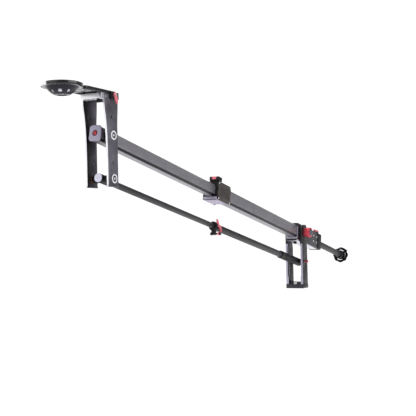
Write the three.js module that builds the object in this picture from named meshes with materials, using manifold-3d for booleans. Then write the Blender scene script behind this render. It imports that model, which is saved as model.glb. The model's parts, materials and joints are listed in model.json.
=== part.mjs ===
// A telescoping camera jib crane: a base bracket, a two-stage square boom, a parallel
// rod that keeps the head upright, a head with a half-ball bowl, and a counterweight rod.
// Millimetres, +Z up, the head points to -X, and the origin is under the base.

import * as THREE from 'three';
import { mergeVertices } from 'three/addons/utils/BufferGeometryUtils.js';
import Module from 'manifold-3d';

const wasm = await Module();
wasm.setup();

// Layout of the linkage
const boomReach = 1236;
const boomPitchDegrees = 11.5;
const pivotRise = 200;
const pivotSpacing = 104;

// Clearances that every piece shares
const seatGap = 0.3;
const turnGap = 0.3;
const sideGap = 0.9;
const openPivotGap = 0.9;
const cutOver = 2;
const edgeBreak = 0.8;
const fineBreak = 0.4;
const blockCorner = 1.6;

// Boom tubes: the rear one takes the front one inside
const rearTubeWidth = 36.3;
const rearTubeHeight = 43;
const tubeSidePlay = 0.85;
const tubeRisePlay = 1;
const tubeWall = 2.3;
const tubeCorner = 5.5;
const rearTubeTail = 45;
const frontTubeOverlap = 62;

// Base bracket
const rearPlateThickness = 9.5;
const rearPlateWidth = 47;
const rearPlateCrown = 28;
const rearCrownCorner = 13;
const rearWaistDepth = 4;
const rearWaistDrop = 33;
const rearWaistLength = 44;
const rebateDrop = 47;
const rebateLength = 110;
const rebateDepth = 2.4;
const rebateReach = 9;
const edgeHoleRadius = 2;
const edgeHoleDepth = 9;
const footHeight = 15;
const footLength = 50;
const footOverhang = 0.6;
const footCorner = 4;
const bridgeHeight = 8;
const bridgeLength = 34;
const insertSpread = 28;
const insertRadius = 8;
const largeThreadRadius = 4.76;
const smallThreadRadius = 3.18;

// Rear pivots
const tiltAxleRadius = 6;
const axleHeadRadius = 10;
const axleHeadHeight = 5;
const boomBushRadius = 9;
const boomBushFlangeRadius = 12;
const boomBushFlange = 0.6;
const rodAxleRadius = 5;
const rodSpacerRadius = 8;
const rodCapRadius = 3.8;
const rodCapHeight = 11.5;
const knobRadius = 17.5;
const knobHeight = 21;
const knobFlutes = 16;
const knobFluteDepth = 1.1;
const knobBoreDepth = 15;
const knobCapRadius = 12.5;
const knobCapHeight = 1.8;
const knobCollarRadius = 14;
const knobCollarHeight = 4;

// Tail housing that carries the rear tube and the counterweight rod
const housingFront = 36;
const housingTail = 158;
const housingWall = 3.85;
const housingRoof = 7.5;
const housingCorner = 3;
const tailCoreStart = 60;
const tailPlateThickness = 5.2;
const tailPlateWidth = 42;
const tailPlateInset = 3;
const endCapLength = 38;
const endCapRim = 1.2;
const endCapCorner = 6;
const endCapGroove = 1.4;
const underScrewRadius = 6;
const underScrewHeight = 6.5;
const underScrewPlace = -4;
const tailBossInset = 20;
const tailBossSide = 11;
const tailBossRadius = 6;
const tailBossHeight = 4.6;
const tailLeverLength = 31;
const tailLeverWidth = 8;
const tailLeverHeight = 6.5;

// Counterweight rod and its hand wheel
const weightRodRadius = 11.5;
const weightRodWall = 2.5;
const weightRodStart = 75;
const weightRodEnd = 500;
const weightPlugHeight = 4;
const collarWall = 4.5;
const collarLength = 11;
const collarSlit = 1.6;
const wheelPlace = 482;
const wheelRadius = 31;
const wheelLobeDepth = 1.8;
const wheelLobes = 8;
const wheelThickness = 9;
const wheelRimWidth = 8.5;
const wheelHubWall = 6.5;
const wheelHubLength = 13;
const wheelSpokeWidth = 9;
const latchLength = 34;
const latchFall = 15;
const latchThickness = 4;
const latchPinRadius = 3.6;
const latchRise = 27.5;

// Clamp in the middle of the boom
const clampFront = 668;
const clampRear = 586;
const clampWall = 4.55;
const clampRoof = 6.5;
const clampFloor = 2.9;
const clampCorner = 4;
const clampSeatDepth = 30;
const clampPlateThickness = 3;
const clampPlateHeight = 55;
const clampPlateInset = 1.2;
const clampPlateCorner = 3;
const clampRibs = 6;
const clampRibDepth = 1.2;
const clampRibWidth = 3;
const clampRibHeight = 30;
const clampRibMargin = 8;
const clampBaseThickness = 4.5;
const clampBaseMargin = 0.7;
const clampBaseShort = 22;
const clampApron = 3;
const clampSlit = 2;
const saddleLength = 24;
const saddleWidth = 32;
const saddleHeight = 13.7;
const saddleSide = 10;
const saddleMouthDepth = 8;
const saddleFloor = 4.2;
const saddleMargin = 6.7;
const clampLeverThickness = 7;
const clampLeverHeight = 9;
const clampLeverLength = 13;
const clampPinRadius = 2;

// Front end of the boom
const boomNose = 24.5;
const noseCapRim = 1.2;
const noseCapLip = 4;
const noseCapSpigot = 12;
const noseRecessRadius = 7.5;
const noseRecessDepth = 3.5;
const nosePlugRadius = 5;
const nosePlugHeight = 2.5;
const tubeBushRadius = 11;
const tubeBushSpigot = 8.5;

// Head bracket
const headGap = 55.9;
const headPlateThickness = 5.3;
const headPlateTop = 98.1;
const headPlateBottom = 124;
const headFrontEdge = 22.5;
const headRearEdge = 19.5;
const headFrontFlare = 12;
const headRearFlare = 3;
const headFlareStart = 18;
const headFlareEnd = 84;
const headCorner = 6;
const headUpperHoleRise = 44;
const headUpperHoleRadius = 3.6;
const headLowerHoleDrop = 66;
const headLowerHoleRadius = 2.6;
const headFootHeight = 4;
const headFootRim = 1.5;
const headAxleRadius = 6;
const headAxleCapRadius = 7.2;
const headAxleCapHeight = 2.2;
const axleSocketRadius = 3.4;
const axleSocketDepth = 1.4;
const upperRingRadius = 12.8;
const lowerRingRadius = 11;
const ringHeight = 2.8;
const pivotWasherRadius = 9.5;
const pivotWasherHeight = 1.6;

// Head top: cross block, rear spacer, camera platform and bowl
const crossFront = 46;
const crossFarSide = 27.5;
const crossNearSide = 26;
const crossDepth = 14;
const crossHeight = 13;
const crossEndHeight = 15.3;
const spacerPlace = 1;
const spacerLength = 24;
const spacerHeight = 11.3;
const platformThickness = 8;
const platformRear = 21;
const platformFront = 106;
const platformCorner = 9;
const bowlPlace = 152;
const ringRadius = 48.5;
const neckFillet = 7;
const bowlSphere = 43;
const bowlWall = 3;
const bowlDepth = 30.5;
const bowlRimRadius = 40;
const bowlRimHeight = 1.6;
const bowlFloorHole = 11;
const bowlWindows = 10;
const bowlWindowWidth = 8.5;
const bowlWindowHeight = 7.5;
const bowlWindowDrop = 22.6;
const platformSlotWidth = 8;
const platformSlotLength = 46;
const platformSlotPlace = 52;
const headHubLength = 30;
const headHubHeight = 17;
const headHubDepth = 7;
const headHubPlace = 2;
const headHubFall = 3.4;
const headStudRadius = 2.4;
const headStudPlace = -2;
const headLeverDrop = 10;
const headLeverLength = 22;
const headLeverWidth = 6;
const headLeverEye = 5.2;
const headLeverThickness = 5;
const headLeverLean = 7;

// Parallel rod
const rodFrontRadius = 8;
const rodRearRadius = 10.5;
const rodWall = 1.9;
const rodOverlap = 90;
const rodSleeveWall = 3;
const rodSleeveFront = 158;
const rodSleeveTail = 27;
const rodSleeveSeat = 45;
const rodSleeveNose = 6;
const rodClampPlace = 650;
const rodClampLength = 24;
const rodClampWall = 3.6;
const rodClampLip = 13;
const rodClampLugLength = 10;
const rodClampLugWidth = 13;
const rodClampLugDrop = 26;
const rodClampSlit = 5;
const rodClampBarRadius = 3;
const rodClampBarDrop = 22.5;
const rodClampBarEnd = 24;
const rodNutRadius = 4.6;
const rodNutHeight = 3;
const rodLeverThickness = 5.5;
const rodLeverRise = 41;
const rodLeverTip = 7;
const rodLeverEye = 5;
const rodLeverLean = 21;
const rodLeverHeel = 13;
const rodLeverBow = 15;
const rodLeverShoulder = 27;
const rodEndRadius = 11;
const rodEndFront = 16;
const rodEndTail = 26;
const rodEndBarrel = 9;
const rodDiscRadius = 11.7;
const rodDiscHeight = 2.5;

// Facets
const fullRound = 24;
const smallRound = 16;
const tinyRound = 8;
const arcSteps = 2;
const cornerSteps = 2;
const tubeCornerSteps = 3;
const domeSteps = 3;

// Values worked out from the driving sizes
const boomPitch = THREE.MathUtils.degToRad(boomPitchDegrees);
const housingWidth = rearTubeWidth + 2 * housingWall;
const housingTop = rearTubeHeight / 2 + housingRoof;
const housingBottom = housingTop;
const rearGap = housingWidth + 2 * sideGap;
const rearHalfGap = rearGap / 2;
const rearOutside = rearHalfGap + rearPlateThickness;
const headHalfGap = headGap / 2;
const headOutside = headHalfGap + headPlateThickness;
const frontTubeWidth = rearTubeWidth - 2 * (tubeWall + tubeSidePlay);
const frontTubeHeight = rearTubeHeight - 2 * (tubeWall + tubeRisePlay);
const collarRadius = weightRodRadius + collarWall;
const wheelHubRadius = weightRodRadius + wheelHubWall;
const rodSleeveRadius = rodRearRadius + rodSleeveWall;
const clampBootEnd = clampFront - clampSeatDepth;
const clampWidth = rearTubeWidth + 2 * clampWall;
const clampTop = rearTubeHeight / 2 + clampRoof;
const clampBottom = rearTubeHeight / 2 + clampFloor;
const clampBaseWidth = clampWidth - 2 * clampBaseMargin;
const platformUnder = headPlateTop + seatGap;
const platformTop = platformUnder + platformThickness;
const tailBossPlace = housingTail + tailBossInset;
const clampPlateLength = clampFront - clampRear - 2 * clampPlateInset;
const clampFace = clampFront + seatGap + clampApron;

// Finishes
function anodisedBlack() {
  return new THREE.MeshStandardMaterial({ color: 0x2c2b30, roughness: 0.5, metalness: 0.6 });
}

function carbonGrey() {
  return new THREE.MeshStandardMaterial({ color: 0x46464b, roughness: 0.55, metalness: 0.2 });
}

function plasticBlack() {
  return new THREE.MeshStandardMaterial({ color: 0x15151a, roughness: 0.45, metalness: 0 });
}

function anodisedRed() {
  return new THREE.MeshStandardMaterial({ color: 0xc01f33, roughness: 0.35, metalness: 0.7 });
}

function satinSilver() {
  return new THREE.MeshStandardMaterial({ color: 0xc9c7d4, roughness: 0.35, metalness: 0.8 });
}

function plainSteel() {
  return new THREE.MeshStandardMaterial({ color: 0xb4b5ba, roughness: 0.3, metalness: 0.9 });
}

function bushBronze() {
  return new THREE.MeshStandardMaterial({ color: 0xb07a55, roughness: 0.4, metalness: 0.8 });
}

// Joining and cutting closed meshes
function toSolid(geometry) {
  const plain = geometry.clone();
  plain.deleteAttribute('normal');
  plain.deleteAttribute('uv');
  const merged = mergeVertices(plain);
  const index = merged.index.array;
  const faces = [];
  for (let i = 0; i < index.length; i += 3) {
    const [a, b, c] = [index[i], index[i + 1], index[i + 2]];
    if (a !== b && b !== c && c !== a) {
      faces.push(a, b, c);
    }
  }
  return new wasm.Manifold(new wasm.Mesh({
    numProp: 3,
    vertProperties: Float32Array.from(merged.attributes.position.array),
    triVerts: Uint32Array.from(faces),
  }));
}

function toGeometry(solid) {
  const mesh = solid.getMesh();
  const geometry = new THREE.BufferGeometry();
  geometry.setAttribute('position', new THREE.BufferAttribute(Float32Array.from(mesh.vertProperties), 3));
  geometry.setIndex(new THREE.BufferAttribute(Uint32Array.from(mesh.triVerts), 1));
  geometry.computeVertexNormals();
  return geometry;
}

function cut(body, ...tools) {
  let solid = toSolid(body);
  for (const tool of tools) {
    solid = solid.subtract(toSolid(tool));
  }
  return toGeometry(solid);
}

function join(body, ...others) {
  let solid = toSolid(body);
  for (const other of others) {
    solid = solid.add(toSolid(other));
  }
  return toGeometry(solid);
}

// Shape builders. An outline drawn in (along, up) is turned to face the axis it is drawn out on.
function traceArc(path, x, y, radius, from, to, steps) {
  for (let i = 0; i <= steps; i += 1) {
    const angle = from + ((to - from) * i) / steps;
    const [across, up] = [x + radius * Math.cos(angle), y + radius * Math.sin(angle)];
    if (path.curves.length === 0 && i === 0) {
      path.moveTo(across, up);
    } else {
      path.lineTo(across, up);
    }
  }
}

function rectangle(along, up, corner, steps = cornerSteps) {
  const x = along / 2 - corner;
  const y = up / 2 - corner;
  const shape = new THREE.Shape();
  [[x, -y], [x, y], [-x, y], [-x, -y]].forEach(([across, rise], turn) => {
    const from = ((turn - 1) * Math.PI) / 2;
    traceArc(shape, across, rise, corner, from, from + Math.PI / 2, steps);
  });
  return shape;
}

function drawOut(shape, depth, chamfer) {
  const geometry = new THREE.ExtrudeGeometry(shape, {
    depth: depth - 2 * chamfer,
    curveSegments: arcSteps,
    bevelEnabled: chamfer > 0,
    bevelThickness: chamfer,
    bevelSize: chamfer,
    bevelOffset: -chamfer,
    bevelSegments: 1,
  });
  return geometry.translate(0, 0, chamfer - depth / 2);
}

// Middle of the depth at the origin, outline seen from the near side
function faceY(shape, depth, chamfer = edgeBreak) {
  return drawOut(shape, depth, chamfer).rotateX(Math.PI / 2);
}

// Outline in (width, height), drawn out along X
function alongX(shape, depth, chamfer = edgeBreak) {
  const turn = new THREE.Matrix4().makeBasis(
    new THREE.Vector3(0, 1, 0),
    new THREE.Vector3(0, 0, 1),
    new THREE.Vector3(1, 0, 0),
  );
  return drawOut(shape, depth, chamfer).applyMatrix4(turn);
}

// Outline in plan, drawn out along Z
function alongZ(shape, depth, chamfer = edgeBreak) {
  return drawOut(shape, depth, chamfer);
}

// Turned piece: profile of [radius, station] pairs, spun about the named axis
function turned(profile, axis, rounds = smallRound) {
  const points = profile.map(([radius, station]) => new THREE.Vector2(radius, station));
  const geometry = new THREE.LatheGeometry(points, rounds);
  if (axis === 'x') {
    geometry.rotateZ(-Math.PI / 2);
  }
  if (axis === 'z') {
    geometry.rotateX(Math.PI / 2);
  }
  return geometry;
}

// Solid round bar from one station to the other, both ends chamfered
function bar(radius, start, end, axis, rounds = smallRound, chamfer = fineBreak) {
  const profile = [
    [0, start],
    [radius - chamfer, start],
    [radius, start + chamfer],
    [radius, end - chamfer],
    [radius - chamfer, end],
    [0, end],
  ];
  return turned(profile, axis, rounds);
}

// Round tube or washer with square edges
function plainSleeve(outer, inner, start, end, axis, rounds = smallRound) {
  return turned([[inner, start], [outer, start], [outer, end], [inner, end], [inner, start]], axis, rounds);
}

// Round tube or washer with its outer edges broken
function sleeve(outer, inner, start, end, axis, rounds = smallRound, chamfer = fineBreak) {
  const profile = [
    [inner, start],
    [outer - chamfer, start],
    [outer, start + chamfer],
    [outer, end - chamfer],
    [outer - chamfer, end],
    [inner, end],
    [inner, start],
  ];
  return turned(profile, axis, rounds);
}

// Plain round cutter that runs past both stations
function drill(radius, start, end, axis, rounds = smallRound) {
  return turned([[0, start], [radius, start], [radius, end], [0, end]], axis, rounds);
}

function tube(width, height, wall, corner, start, end) {
  const outside = rectangle(width, height, corner, tubeCornerSteps);
  outside.holes.push(rectangle(width - 2 * wall, height - 2 * wall, corner - wall));
  return alongX(outside, end - start, 0).translate((start + end) / 2, 0, 0);
}

// Outline of a hole that takes a tube of the given size
function tubeHole(width, height) {
  return rectangle(width + 2 * seatGap, height + 2 * seatGap, tubeCorner + seatGap, tubeCornerSteps);
}

function piece(name, geometry, material) {
  const mesh = new THREE.Mesh(geometry, material);
  mesh.name = name;
  return mesh;
}

// Base bracket

function baseYoke() {
  const width = 2 * (rearOutside + footOverhang);
  const slab = alongZ(rectangle(footLength, width, footCorner), footHeight, edgeBreak)
    .translate(0, 0, footHeight / 2);
  const bridge = alongZ(rectangle(bridgeLength, rearGap - 2 * seatGap, footCorner), footHeight + bridgeHeight)
    .translate(0, 0, (footHeight + bridgeHeight) / 2);
  const top = footHeight + bridgeHeight;
  const bore = insertRadius + seatGap;
  const wells = [-1, 1].map((side) => drill(bore, -cutOver, top + cutOver, 'z')
    .translate(side * insertSpread / 2, 0, 0));
  return piece('base_yoke', cut(join(slab, bridge), ...wells), anodisedBlack());
}

function threadInsert(name, side, threadRadius) {
  const top = footHeight + bridgeHeight;
  const geometry = plainSleeve(insertRadius, threadRadius, fineBreak, top - fineBreak, 'z')
    .translate(side * insertSpread / 2, 0, 0);
  return piece(name, geometry, plainSteel());
}

function rearPlateOutline() {
  const half = rearPlateWidth / 2;
  const bottom = footHeight + seatGap - pivotRise;
  const waistTop = -rearWaistDrop + rearWaistLength / 2;
  const waistBottom = -rearWaistDrop - rearWaistLength / 2;
  const ease = rearWaistLength / 4;
  const shape = new THREE.Shape();
  shape.moveTo(-half, bottom);
  shape.lineTo(half, bottom);
  shape.lineTo(half, waistBottom);
  shape.bezierCurveTo(half, waistBottom + ease, half - rearWaistDepth, -rearWaistDrop - ease,
    half - rearWaistDepth, -rearWaistDrop);
  shape.bezierCurveTo(half - rearWaistDepth, -rearWaistDrop + ease, half, waistTop - ease, half, waistTop);
  shape.lineTo(half, rearPlateCrown - rearCrownCorner);
  shape.absarc(half - rearCrownCorner, rearPlateCrown - rearCrownCorner, rearCrownCorner, 0, Math.PI / 2, false);
  shape.lineTo(-half + rearCrownCorner, rearPlateCrown);
  shape.absarc(-half + rearCrownCorner, rearPlateCrown - rearCrownCorner, rearCrownCorner, Math.PI / 2, Math.PI, false);
  shape.lineTo(-half, bottom);
  return shape;
}

// side is -1 for the near plate and +1 for the far one
function rearPlate(name, side) {
  const middle = side * (rearHalfGap + rearPlateThickness / 2);
  const blank = faceY(rearPlateOutline(), rearPlateThickness).translate(0, middle, 0);
  const reach = rearOutside + cutOver;
  const tiltHole = drill(tiltAxleRadius + seatGap, -reach, reach, 'y');
  const rodHole = drill(rodAxleRadius + seatGap, -reach, reach, 'y').translate(0, 0, -pivotSpacing);
  const rebate = new THREE.BoxGeometry(rebateReach + cutOver, rebateDepth + cutOver, rebateLength).translate(
    (rebateReach - cutOver) / 2 - rearPlateWidth / 2,
    side * (rearHalfGap + (rebateDepth - cutOver) / 2),
    -rebateDrop - rebateLength / 2,
  );
  const edgeHoles = [rebateDrop, rebateDrop + rebateLength].map((drop) => drill(
    edgeHoleRadius,
    -rearPlateWidth / 2 - cutOver,
    edgeHoleDepth - rearPlateWidth / 2,
    'x',
    tinyRound,
  ).translate(0, middle + side * rebateDepth / 2, -drop));
  const geometry = cut(blank, tiltHole, rodHole, rebate, ...edgeHoles).translate(0, 0, pivotRise);
  return piece(name, geometry, anodisedBlack());
}

function tiltAxle() {
  const farFace = rearOutside + seatGap;
  const nearEnd = -rearOutside - knobCollarHeight - knobBoreDepth;
  const profile = [
    [0, nearEnd],
    [tiltAxleRadius - edgeBreak, nearEnd],
    [tiltAxleRadius, nearEnd + edgeBreak],
    [tiltAxleRadius, farFace],
    [axleHeadRadius, farFace],
    [axleHeadRadius, farFace + axleHeadHeight - edgeBreak],
    [axleHeadRadius - edgeBreak, farFace + axleHeadHeight],
    [0, farFace + axleHeadHeight],
  ];
  const socket = new THREE.CylinderGeometry(axleSocketRadius, axleSocketRadius, axleHeadHeight, 6)
    .translate(0, farFace + axleHeadHeight, 0);
  return piece('tilt_axle', cut(turned(profile, 'y'), socket).translate(0, 0, pivotRise), plainSteel());
}

function knobOutline() {
  const shape = new THREE.Shape();
  const steps = knobFlutes * 3;
  for (let i = 0; i < steps; i += 1) {
    const angle = (i / steps) * 2 * Math.PI;
    const dip = i % 3 === 0 ? knobFluteDepth : 0;
    const radius = knobRadius - dip;
    if (i === 0) {
      shape.moveTo(radius, 0);
    } else {
      shape.lineTo(radius * Math.cos(angle), radius * Math.sin(angle));
    }
  }
  return shape;
}

function tiltLockKnob() {
  const face = rearOutside + seatGap;
  const inner = face + knobCollarHeight;
  const outer = inner + knobHeight;
  const grip = faceY(knobOutline(), knobHeight, edgeBreak).translate(0, -(inner + outer) / 2, 0);
  const collar = drill(knobCollarRadius, -outer + knobHeight / 2, -face, 'y');
  const blank = join(grip, collar);
  const bore = drill(tiltAxleRadius + seatGap, -inner - knobBoreDepth, -face + cutOver, 'y');
  const capSeat = drill(knobCapRadius + seatGap, -outer - cutOver, -outer + knobCapHeight / 2 + seatGap, 'y');
  return piece('tilt_lock_knob', cut(blank, bore, capSeat).translate(0, 0, pivotRise), anodisedRed());
}

function tiltKnobCap() {
  const outer = rearOutside + seatGap + knobCollarHeight + knobHeight;
  const geometry = bar(knobCapRadius, -outer - knobCapHeight / 2, -outer + knobCapHeight / 2, 'y')
    .translate(0, 0, pivotRise);
  return piece('tilt_knob_cap', geometry, plasticBlack());
}

function rodAxle() {
  const farFace = rearOutside + seatGap;
  const profile = [
    [0, -rearOutside],
    [rodAxleRadius, -rearOutside],
    [rodAxleRadius, farFace],
    [rodSpacerRadius, farFace],
    [rodSpacerRadius, farFace + axleHeadHeight - edgeBreak],
    [rodSpacerRadius - edgeBreak, farFace + axleHeadHeight],
    [0, farFace + axleHeadHeight],
  ];
  const socket = new THREE.CylinderGeometry(axleSocketRadius, axleSocketRadius, axleHeadHeight, 6)
    .translate(0, farFace + axleHeadHeight, 0);
  const geometry = cut(turned(profile, 'y'), socket).translate(0, 0, pivotRise - pivotSpacing);
  return piece('rod_axle', geometry, plainSteel());
}

function rodAxleCap() {
  const inner = rearOutside + seatGap;
  const geometry = bar(rodCapRadius, -inner - rodCapHeight, -inner, 'y', tinyRound, edgeBreak)
    .translate(0, 0, pivotRise - pivotSpacing);
  return piece('rod_axle_cap', geometry, anodisedRed());
}

// Boom, drawn with its axis along X and the upper rear pivot at the origin

function tailHousing() {
  const length = housingFront + housingTail;
  const middle = (housingTail - housingFront) / 2;
  const shape = rectangle(housingWidth, housingTop + housingBottom, housingCorner);
  shape.holes.push(tubeHole(rearTubeWidth, rearTubeHeight));
  const shell = alongX(shape, length, fineBreak).translate(middle, 0, 0);
  const reach = housingWidth / 2 + cutOver;
  const tiltHole = drill(boomBushRadius + seatGap, -reach, reach, 'y');
  return piece('tail_housing', cut(shell, tiltHole), anodisedBlack());
}

function rearTube() {
  const blank = tube(rearTubeWidth, rearTubeHeight, tubeWall, tubeCorner, -clampBootEnd, rearTubeTail);
  const reach = rearTubeWidth / 2 + cutOver;
  return piece('rear_tube', cut(blank, drill(boomBushRadius + seatGap, -reach, reach, 'y')), carbonGrey());
}

function boomBush(name, side) {
  const flangeInner = side * (housingWidth / 2 + seatGap / 2);
  const flangeOuter = side * (housingWidth / 2 + seatGap / 2 + boomBushFlange - seatGap);
  const spigot = side * (rearTubeWidth / 2 - tubeWall);
  const profile = [
    [tiltAxleRadius + turnGap, spigot],
    [boomBushRadius, spigot],
    [boomBushRadius, flangeInner],
    [boomBushFlangeRadius, flangeInner],
    [boomBushFlangeRadius, flangeOuter],
    [tiltAxleRadius + turnGap, flangeOuter],
    [tiltAxleRadius + turnGap, spigot],
  ];
  return piece(name, turned(side > 0 ? profile : profile.reverse(), 'y'), bushBronze());
}

function tailCore() {
  const length = housingTail - tailCoreStart - seatGap;
  const block = alongX(rectangle(rearTubeWidth, rearTubeHeight, tubeCorner), length, edgeBreak)
    .translate((housingTail + tailCoreStart) / 2, 0, 0);
  const bore = drill(weightRodRadius + turnGap, tailCoreStart - cutOver, housingTail + cutOver, 'x', fullRound);
  return piece('tail_core', cut(block, bore), plasticBlack());
}

function tailBasePlate() {
  const length = housingFront + housingTail - tailPlateInset;
  const top = housingBottom + seatGap;
  const geometry = alongX(rectangle(tailPlateWidth, tailPlateThickness, edgeBreak), length, fineBreak)
    .translate((housingTail - housingFront - tailPlateInset) / 2, 0, -top - tailPlateThickness / 2);
  return piece('tail_base_plate', geometry, satinSilver());
}

function tailEndCap() {
  const start = housingTail + seatGap;
  const width = housingWidth + 2 * endCapRim;
  const height = housingTop + housingBottom + 2 * endCapRim;
  const block = alongX(rectangle(width, height, endCapCorner), endCapLength, 2 * edgeBreak)
    .translate(start + endCapLength / 2, 0, 0);
  const bore = drill(weightRodRadius + turnGap, start - cutOver, start + endCapLength + cutOver, 'x', fullRound);
  const slit = new THREE.BoxGeometry(endCapLength + 2 * cutOver, endCapGroove, housingTop)
    .translate(start + endCapLength / 2, 0, housingTop / 2 + weightRodRadius);
  return piece('tail_end_cap', cut(join(block, tailClampBoss()), bore, slit), plasticBlack());
}

function underScrew() {
  const top = housingBottom + tailPlateThickness + 2 * seatGap;
  const geometry = bar(underScrewRadius, -top - underScrewHeight, -top, 'z', smallRound, edgeBreak)
    .rotateX(Math.PI)
    .translate(0, 0, -2 * top - underScrewHeight)
    .translate(underScrewPlace, 0, 0);
  return piece('housing_thumb_screw', geometry, plasticBlack());
}

// Stud that the clamp lever turns on
function tailClampBoss() {
  const bottom = housingTop + endCapRim;
  const profile = [
    [0, bottom - tailBossHeight],
    [tailBossRadius, bottom - tailBossHeight],
    [tailBossRadius, bottom + tailBossHeight],
    [tailBossRadius / 2, bottom + tailBossHeight],
    [tailBossRadius / 2, bottom + tailBossHeight + tailLeverHeight],
    [0, bottom + tailBossHeight + tailLeverHeight],
  ];
  return turned(profile, 'z', smallRound).translate(tailBossPlace, -tailBossSide, 0);
}

function leverBlade(length, eyeRadius, tipRadius) {
  const shape = new THREE.Shape();
  shape.absarc(0, 0, eyeRadius, Math.PI / 2, 1.5 * Math.PI, false);
  shape.lineTo(length - tipRadius, -tipRadius);
  shape.absarc(length - tipRadius, 0, tipRadius, -Math.PI / 2, Math.PI / 2, false);
  shape.lineTo(0, eyeRadius);
  return shape;
}

function tailClampLever() {
  const bottom = housingTop + endCapRim + tailBossHeight + seatGap;
  const shape = leverBlade(tailLeverLength, tailBossRadius, tailLeverWidth / 2);
  const blade = alongZ(shape, tailLeverHeight, edgeBreak).rotateZ(Math.PI)
    .translate(0, 0, bottom + tailLeverHeight / 2);
  const eye = drill(tailBossRadius / 2 + turnGap, bottom - cutOver, bottom + tailLeverHeight + cutOver, 'z');
  return piece('tail_clamp_lever', cut(blade, eye).translate(tailBossPlace, -tailBossSide, 0), anodisedRed());
}

// Clamp in the middle of the boom

function midClampBody() {
  const length = clampFront - clampRear;
  const height = clampTop + clampBottom;
  const rise = (clampTop - clampBottom) / 2;
  const block = alongX(rectangle(clampWidth, height, clampCorner), length, edgeBreak)
    .translate(-(clampFront + clampRear) / 2, 0, rise);
  const rearBore = alongX(
    tubeHole(rearTubeWidth, rearTubeHeight),
    clampBootEnd - clampRear + cutOver + seatGap,
    0,
  ).translate(-(clampBootEnd + clampRear + seatGap - cutOver) / 2, 0, 0);
  const frontBore = alongX(
    tubeHole(frontTubeWidth, frontTubeHeight),
    clampFront - clampBootEnd + 2 * cutOver,
    0,
  ).translate(-(clampFront + clampBootEnd) / 2, 0, 0);
  const slit = new THREE.BoxGeometry(clampSeatDepth, clampSlit, clampTop)
    .translate(-clampFront + clampSeatDepth / 2 - cutOver, saddleSide, clampTop / 2 + frontTubeHeight / 2);
  return piece('mid_clamp_body', cut(block, rearBore, frontBore, slit), anodisedBlack());
}

function midClampSidePlate(name, side) {
  const face = clampWidth / 2 + seatGap;
  const middle = (clampFront + clampRear) / 2;
  const blank = faceY(rectangle(clampPlateLength, clampPlateHeight, clampPlateCorner), clampPlateThickness, fineBreak)
    .translate(-middle, side * (face + clampPlateThickness / 2), 0);
  const tools = [];
  const ribPitch = (clampPlateLength - 2 * clampRibMargin) / clampRibs;
  for (let i = 0; i < clampRibs; i += 1) {
    const place = -middle + (i - (clampRibs - 1) / 2) * ribPitch;
    tools.push(new THREE.BoxGeometry(ribPitch - clampRibWidth, 2 * clampRibDepth, clampRibHeight)
      .translate(place, side * (face + clampPlateThickness), 0));
  }
  return piece(name, cut(blank, ...tools), plasticBlack());
}

// The plate under the clamp turns up at its front into an apron that closes the body below the tube
function midClampBase() {
  const length = clampFace - clampRear - clampBaseShort;
  const top = -clampBottom - seatGap;
  const plate = alongZ(rectangle(length, clampBaseWidth, 2 * edgeBreak), clampBaseThickness, edgeBreak)
    .translate(-clampFace + length / 2, 0, top - clampBaseThickness / 2);
  const apronTop = -frontTubeHeight / 2 - seatGap;
  const apronHeight = apronTop - top + clampBaseThickness / 2;
  const apron = alongX(rectangle(clampBaseWidth, apronHeight, 2 * fineBreak), clampApron, fineBreak)
    .translate(-clampFace + clampApron / 2, 0, apronTop - apronHeight / 2);
  return piece('mid_clamp_base_plate', join(plate, apron), satinSilver());
}

function saddleBlock() {
  const bottom = clampTop + seatGap;
  const top = bottom + saddleHeight;
  const block = alongX(rectangle(saddleWidth, saddleHeight, clampCorner), saddleLength, edgeBreak)
    .translate(-clampFace + saddleLength / 2, -saddleSide, bottom + saddleHeight / 2);
  const mouthWidth = clampLeverLength + clampLeverThickness / 2 + 2 * seatGap;
  const mouth = new THREE.BoxGeometry(2 * saddleMouthDepth, mouthWidth, saddleHeight)
    .translate(
      -clampFace,
      saddleWidth / 2 - saddleMargin - saddleSide - mouthWidth / 2,
      bottom + saddleFloor + saddleHeight / 2,
    );
  const pin = drill(clampPinRadius, bottom + edgeBreak, top - edgeBreak, 'z', tinyRound)
    .translate(-clampFace + saddleMouthDepth / 2, saddlePinSide(), 0);
  return piece('mid_clamp_saddle', join(cut(block, mouth), pin), plasticBlack());
}

// The lever pin stands at the far end of the saddle's mouth
function saddlePinSide() {
  return saddleWidth / 2 - saddleSide - saddleMargin - clampLeverThickness / 2 - seatGap;
}

function midClampLever() {
  const middle = clampTop + saddleFloor + 2 * seatGap + clampLeverHeight / 2;
  const shape = leverBlade(clampLeverLength, clampLeverThickness / 2, clampLeverThickness / 3);
  const blade = alongZ(shape, clampLeverHeight, edgeBreak).rotateZ(-Math.PI / 2);
  const eye = drill(clampPinRadius + turnGap, -clampLeverHeight, clampLeverHeight, 'z', tinyRound);
  const geometry = cut(blade, eye)
    .translate(-clampFace + saddleMouthDepth / 2, saddlePinSide(), middle);
  return piece('mid_clamp_lever', geometry, anodisedRed());
}

// Counterweight rod, drawn in the boom's frame

function counterweightRod() {
  const geometry = plainSleeve(weightRodRadius, weightRodRadius - weightRodWall, weightRodStart, weightRodEnd, 'x',
    fullRound);
  return piece('counterweight_rod', geometry, carbonGrey());
}

function weightRodPlug() {
  const inside = weightRodRadius - weightRodWall - seatGap;
  const end = weightRodEnd + seatGap;
  const profile = [
    [0, end - 3 * weightPlugHeight],
    [inside, end - 3 * weightPlugHeight],
    [inside, end],
    [weightRodRadius, end],
    [weightRodRadius, end + weightPlugHeight / 2],
    [weightRodRadius - weightPlugHeight / 2, end + weightPlugHeight],
    [0, end + weightPlugHeight],
  ];
  return piece('weight_rod_plug', turned(profile, 'x'), plasticBlack());
}

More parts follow.
